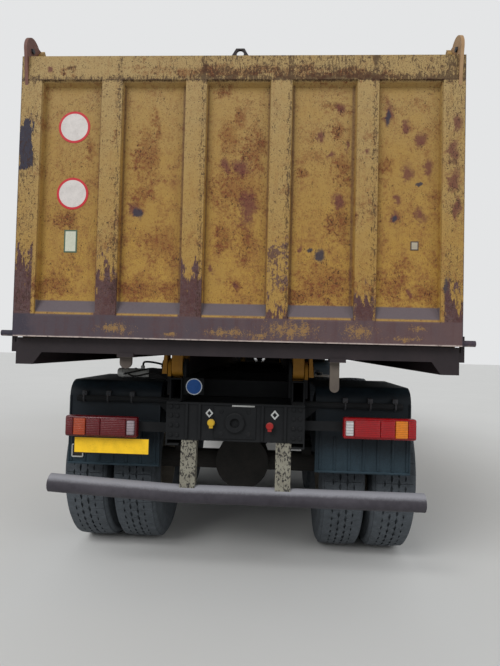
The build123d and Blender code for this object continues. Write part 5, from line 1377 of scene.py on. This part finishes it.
wiperLook = {"pair": ((-0.42, -0.88, -0.22), (0.42, 0.02, 0.70)),  # foot, and both ends of the blade
             "bladeHigh": (2.075, 2.125), "steps": 8, "held": 5, "blade": 0.0065, "arm": 0.006}


def wipers(shape):
    (low, high), steps = wiperLook["bladeHigh"], wiperLook["steps"]
    for foot, start, end in wiperLook["pair"]:
        blade = []
        for share in (step / steps for step in range(steps + 1)):
            height = low + (high - low) * share
            blade.append((start + (end - start) * share, screenFace(height) + 0.006, height))
        tube(shape, blade, wiperLook["blade"], 6)
        hold = blade[wiperLook["held"]]
        arm = ((foot, screenFace(1.995) + 0.012, 1.985), (foot + 0.02, screenFace(2.03) + 0.03, 2.03),
               (hold[0], hold[1] + 0.018, hold[2]), hold)
        tube(shape, bend(arm, 5), wiperLook["arm"], 8)
        disc(shape, (foot, screenFace(1.995) - 0.012, 1.985), (0, 1, 0.35), 0.02, 0.03, 16, 0.004)


meshPiece("wipers", wipers, "darkPlastic", "cab")


hatchLook = {"frame": (0.33, (6.15, 6.72), (2.948, 2.966), 0.006, 2),
             "lid": (0.29, (6.19, 6.68), (2.962, 2.985), 0.012, 3),
             "hinges": (-0.12, 0.12), "hingeHalf": 0.02, "hingeAlong": (6.66, 6.70),
             "hingeHigh": (2.966, 2.98)}


def roofHatch(shape):
    look = hatchLook
    for half, (back, front), (low, high), bevel, steps in (look["frame"], look["lid"]):
        slab(shape, (-half, tailY + back, low), (half, tailY + front, high), bevel, steps)
    half, (back, front), (low, high) = look["hingeHalf"], look["hingeAlong"], look["hingeHigh"]
    for across in look["hinges"]:
        slab(shape, (across - half, tailY + back, low), (across + half, tailY + front, high), 0.004)


meshPiece("roofHatch", roofHatch, "darkPlastic", "cab")


headlampLook = {"face": 7.6565, "sunk": 0.002, "rings": (0.785, 0.93), "height": 0.68, "outer": 0.068,
                "inner": 0.058, "thick": 0.0045, "trims": ((0.703, 0.71), (1.01, 1.017)),
                "trimHigh": (0.604, 0.756)}


def lampRings(shape):
    look = headlampLook
    back, front = look["face"] - look["sunk"], look["face"] + look["sunk"]
    for side in (-1, 1):
        for reach in look["rings"]:
            disc(shape, (side * reach, tailY + back, look["height"]), (0, 1, 0), look["outer"],
                 look["thick"], 40, 0.0012, look["inner"])
        for across in look["trims"]:
            sideSlab(shape, side, across, (back, front), look["trimHigh"], 0.001)


meshPiece("headlampRings", lampRings, "chrome", "chassis")
for side, tag in sides:
    meshPiece(f"sideTurn{tag}", lambda shape: sideSlab(
        shape, side, (1.213, 1.226), (7.12, 7.22), (1.14, 1.19), 0.005, 3), "amberLens", "chassis")


treadLook = {"studs": 5, "studPitch": 0.035, "stud": 0.008, "studHigh": 0.006, "rows": 8, "rowPitch": 0.036,
             "first": (-1.175, 1.035), "along": 7.035, "heights": (0.479, 0.819)}


def treadRow(shape):
    for step in range(treadLook["studs"]):
        disc(shape, (treadLook["studPitch"] * step, 0, 0), (0, 0, 1), treadLook["stud"],
             treadLook["studHigh"], 8, 0.0015)


rowPart = partShape("treadRow", treadRow)
treadRows = [growMesh(lineOfParts, {
    "Part": rowPart, "Count": treadLook["rows"], "Step": (0.0, treadLook["rowPitch"], 0.0),
    "Start": (first, tailY + treadLook["along"], height)}, "hookSteel")
    for first in treadLook["first"] for height in treadLook["heights"]]
placePiece("stepTreads", joinMeshes("stepTreads", treadRows), "hookSteel", "chassis")

# Inside the cab: horn pad, dials, and two sprung seats with padded cushions
columnTilt = math.radians(35)
wheelAxis = Vector((0, -math.cos(columnTilt), math.sin(columnTilt)))
columnFoot = Vector((-0.72, tailY + 7.13, 1.93))
dialNormal, dialRadius = Vector((0, -0.79, 0.61)), 0.046
dialSpots = [Vector((across, tailY + 7.185, 1.945)) for across in (-0.835, -0.605)]


def hornPad(shape):
    disc(shape, columnFoot + wheelAxis * 0.150, wheelAxis, 0.072, 0.022, 32, 0.008)


def dialFaces(shape):
    for spot in dialSpots:
        disc(shape, spot - dialNormal * 0.001, dialNormal, dialRadius, 0.004, 32, 0.001)


def dialRings(shape):
    for spot in dialSpots:
        disc(shape, spot - dialNormal * 0.001, dialNormal, dialRadius + 0.007, 0.009, 32, 0.002, dialRadius)
        disc(shape, spot + dialNormal * 0.003, dialNormal, 0.006, 0.004, 12, 0.001)


meshPiece("hornPad", hornPad, "darkPlastic", "cab")
meshPiece("dialFaces", dialFaces, "dialWhite", "cab")
meshPiece("dialRings", dialRings, "darkPlastic", "cab")

seatLook = {"middle": 0.72, "half": 0.228, "cushion": ((6.232, 6.596), (1.664, 1.776)),
            "backFoot": (6.100, 1.712), "backThick": 0.112, "backHigh": 0.735, "backLean": 8.0,
            "round": 0.034, "voxel": 0.009, "cap": 0.014, "pressure": 4.0, "quality": 5, "frames": 20,
            "channel": 0.007, "groove": 0.009, "seams": (-0.13, 0.13), "cushionSeams": (6.36, 6.48),
            "backSeams": (1.86, 2.0, 2.14, 2.28), "cushionFill": 0.7, "backFill": 0.75, "pipingInset": 0.02,
            "piping": 0.0045, "bellows": 6.34, "folds": 6, "foldLow": 1.40, "foldPitch": 0.036,
            "foldHigh": 0.034, "foldHalf": (0.15, 0.165)}


def cushionForm(shape):
    half = seatLook["half"]
    (back, front), (low, high) = seatLook["cushion"]
    slab(shape, (-half, tailY + back, low), (half, tailY + front, high), seatLook["round"], 4)


def backrestForm(shape):
    half = seatLook["half"]
    slab(shape, (-half, 0, 0), (half, seatLook["backThick"], seatLook["backHigh"]), seatLook["round"], 4)
    along, height = seatLook["backFoot"]
    place = Matrix.Translation((0, tailY + along, height))
    place = place @ Matrix.Rotation(math.radians(seatLook["backLean"]), 4, "X")
    bmesh.ops.transform(shape, matrix=place, verts=shape.verts)


def puffed(name, build):
    # Remeshed evenly, blown up by cloth pressure with no point moving past the cap, then smoothed once
    pad = bpy.data.objects.new(name, meshFrom(name, build))
    bpy.context.scene.collection.objects.link(pad)
    remesh = pad.modifiers.new("even", "REMESH")
    remesh.mode = "VOXEL"
    remesh.voxel_size = seatLook["voxel"]
    start = settle(pad)
    pad.modifiers.clear()
    pad.data = start
    rest = [vert.co.copy() for vert in start.vertices]
    settings = pad.modifiers.new("puff", "CLOTH").settings
    settings.use_pressure = True
    settings.uniform_pressure_force = seatLook["pressure"]
    settings.effector_weights.gravity = 0.0
    settings.quality = seatLook["quality"]
    for number in range(1, seatLook["frames"] + 1):
        bpy.context.scene.frame_set(number)
    blown = settle(pad)
    pad.modifiers.clear()
    for vert, place in zip(blown.vertices, rest):
        moved = vert.co - place
        if moved.length > seatLook["cap"]:
            vert.co = place + moved * (seatLook["cap"] / moved.length)
    pad.data = blown
    bpy.context.scene.frame_set(1)
    smoother = pad.modifiers.new("soft", "SUBSURF")
    smoother.levels = smoother.render_levels = 1
    done = settle(pad)
    bpy.data.objects.remove(pad)
    return done


def settle(piece):
    bpy.context.view_layer.update()
    return bpy.data.meshes.new_from_object(piece.evaluated_get(bpy.context.evaluated_depsgraph_get()))


def sewn(mesh, places, direction, along):
    # Channels sewn across a pad: a shallow groove at each place
    facing = [max(0.0, min(1.0, vert.normal.dot(direction) * 1.6)) for vert in mesh.vertices]
    for vert, share in zip(mesh.vertices, facing):
        for place in places:
            off = (along(vert.co) - place) / seatLook["groove"]
            if abs(off) < 3:
                vert.co -= direction * seatLook["channel"] * math.exp(-off * off) * share
    mesh.update()


def shifted(mesh, across):
    copy = mesh.copy()
    copy.transform(Matrix.Translation((across, 0, 0)))
    return copy


upward, frontward = Vector((0, 0, 1)), Vector((0, 1, 0))
cushionMesh = puffed("cushion", cushionForm)
sewn(cushionMesh, seatLook["seams"], upward, lambda co: co.x)
sewn(cushionMesh, seatLook["cushionSeams"], upward, lambda co: co.y - tailY)
backMesh = puffed("backrest", backrestForm)
sewn(backMesh, seatLook["seams"], frontward, lambda co: co.x)
sewn(backMesh, seatLook["backSeams"], frontward, lambda co: co.z)


def seatBase(shape):  # folded bellows between two plates
    look = seatLook
    middle = tailY + look["bellows"]
    for fold in range(look["folds"]):
        low = look["foldLow"] + fold * look["foldPitch"]
        half = look["foldHalf"][fold % 2]
        slab(shape, (-half, middle - half, low), (half, middle + half, low + look["foldHigh"]), 0.01)
    slab(shape, (-0.17, tailY + 6.175, 1.39), (0.17, tailY + 6.505, 1.402), 0.003)
    slab(shape, (-0.20, tailY + 6.19, 1.618), (0.20, tailY + 6.56, 1.652), 0.01)


def seatPiping(shape):
    (back, front), (low, high) = seatLook["cushion"]
    inset = seatLook["pipingInset"]
    middle = tailY + (back + front) / 2
    path = roundedFrame(seatLook["half"] - inset, (front - back) / 2 - inset, 0.04, 4)
    closedBar(shape, [(across, middle + along, high + 0.001) for across, along in path], seatLook["piping"])


baseMesh = meshFrom("seatBase", seatBase, merge=True)
pipingMesh = meshFrom("seatPiping", seatPiping, merge=True)
for side, tag in sides:
    across = side * seatLook["middle"]
    for part, mesh, fill in (("Cushion", cushionMesh, seatLook["cushionFill"]),
                             ("Back", backMesh, seatLook["backFill"])):
        pad = placePiece(f"seat{part}{tag}", shifted(mesh, across), "seatCloth", "cab",
                         smooth=False)
        pad.data.polygons.foreach_set("use_smooth", [True] * len(pad.data.polygons))
    placePiece(f"seatBase{tag}", shifted(baseMesh, across), "rubber", "cab")
    placePiece(f"seatPiping{tag}", shifted(pipingMesh, across), "rubber", "cab")
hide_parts("cab_seats")
print("cab trimmed, seats padded")

# Floor, soft light and the photograph's camera
studio = {"floor": tint(214, 214, 212), "floorShade": tint(190, 190, 188), "floorHalf": 60.0,
          "ambient": 0.56, "sky": tint(232, 234, 236), "shown": tint(228, 229, 230), "keyPower": 1.65,
          "keyTurn": (52, 0, -32), "spread": 30, "fillPower": 0.6, "fillTurn": (64, 0, 48)}
floorMesh = bpy.data.meshes.new("floor")
reach = studio["floorHalf"]
floorMesh.from_pydata([(-reach, -reach, 0), (reach, -reach, 0), (reach, reach, 0), (-reach, reach, 0)],
                      [], [(0, 1, 2, 3)])
floor = bpy.data.objects.new("floor", floorMesh)
bpy.context.scene.collection.objects.link(floor)
floorPaint = Paint("floorGrey")
floorTone = floorPaint.noise(0.6, 3).ramp(0.2, 0.8)
floorMesh.materials.append(floorPaint.finish(
    floorPaint.mix(floorTone * 0.12, studio["floor"], studio["floorShade"]), 0.85))

world = bpy.data.worlds.new("studio")
world.use_nodes = True
bpy.context.scene.world = world
sky = world.node_tree
backdrop = sky.nodes["Background"]
backdrop.inputs[0].default_value = studio["sky"]
backdrop.inputs[1].default_value = studio["ambient"]
shown = addNode(sky, "ShaderNodeBackground", None, {0: studio["shown"], 1: 1.0})
ray = addNode(sky, "ShaderNodeLightPath").outputs
seen = ray["Is Camera Ray"]
for kind in ("Is Glossy Ray", "Is Transmission Ray"):
    seen = addNode(sky, "ShaderNodeMath", {"operation": "MAXIMUM"}, {0: seen, 1: ray[kind]}).outputs[0]
pick = addNode(sky, "ShaderNodeMixShader", None, {0: seen, 1: backdrop.outputs[0], 2: shown.outputs[0]})
feed(sky, sky.nodes["World Output"].inputs[0], pick.outputs[0])


def softSun(name, power, turn, spread):
    lamp = bpy.data.lights.new(name, "SUN")
    lamp.energy = power
    lamp.angle = math.radians(spread)
    holder = bpy.data.objects.new(name, lamp)
    holder.rotation_euler = [math.radians(angle) for angle in turn]
    bpy.context.scene.collection.objects.link(holder)


softSun("keyLight", studio["keyPower"], studio["keyTurn"], studio["spread"])
softSun("fillLight", studio["fillPower"], studio["fillTurn"], studio["spread"])

view = {"place": (0.232, tailY - 2.757, 1.498), "left": 2.82, "up": 1.65, "roll": 1.41, "lens": 27.03}
yaw, pitch, roll = (math.radians(view[key]) for key in ("left", "up", "roll"))
rightward = Vector((math.cos(yaw), math.sin(yaw), 0))
levelAhead = Vector((-math.sin(yaw), math.cos(yaw), 0))
ahead = math.cos(pitch) * levelAhead + math.sin(pitch) * upward
levelUp = math.cos(pitch) * upward - math.sin(pitch) * levelAhead
cameraRight = math.cos(roll) * rightward + math.sin(roll) * levelUp
cameraUp = math.cos(roll) * levelUp - math.sin(roll) * rightward
lens = bpy.data.cameras.new("photoView")
lens.lens = view["lens"]
lens.sensor_width = 36
lens.clip_end = 300
camera = bpy.data.objects.new("photoView", lens)
turned = Matrix((cameraRight, cameraUp, -ahead)).transposed().to_4x4()
camera.matrix_world = Matrix.Translation(view["place"]) @ turned
bpy.context.scene.collection.objects.link(camera)
bpy.context.scene.camera = camera
bpy.context.scene.view_settings.view_transform = "Standard"
print("floor, light and camera set")
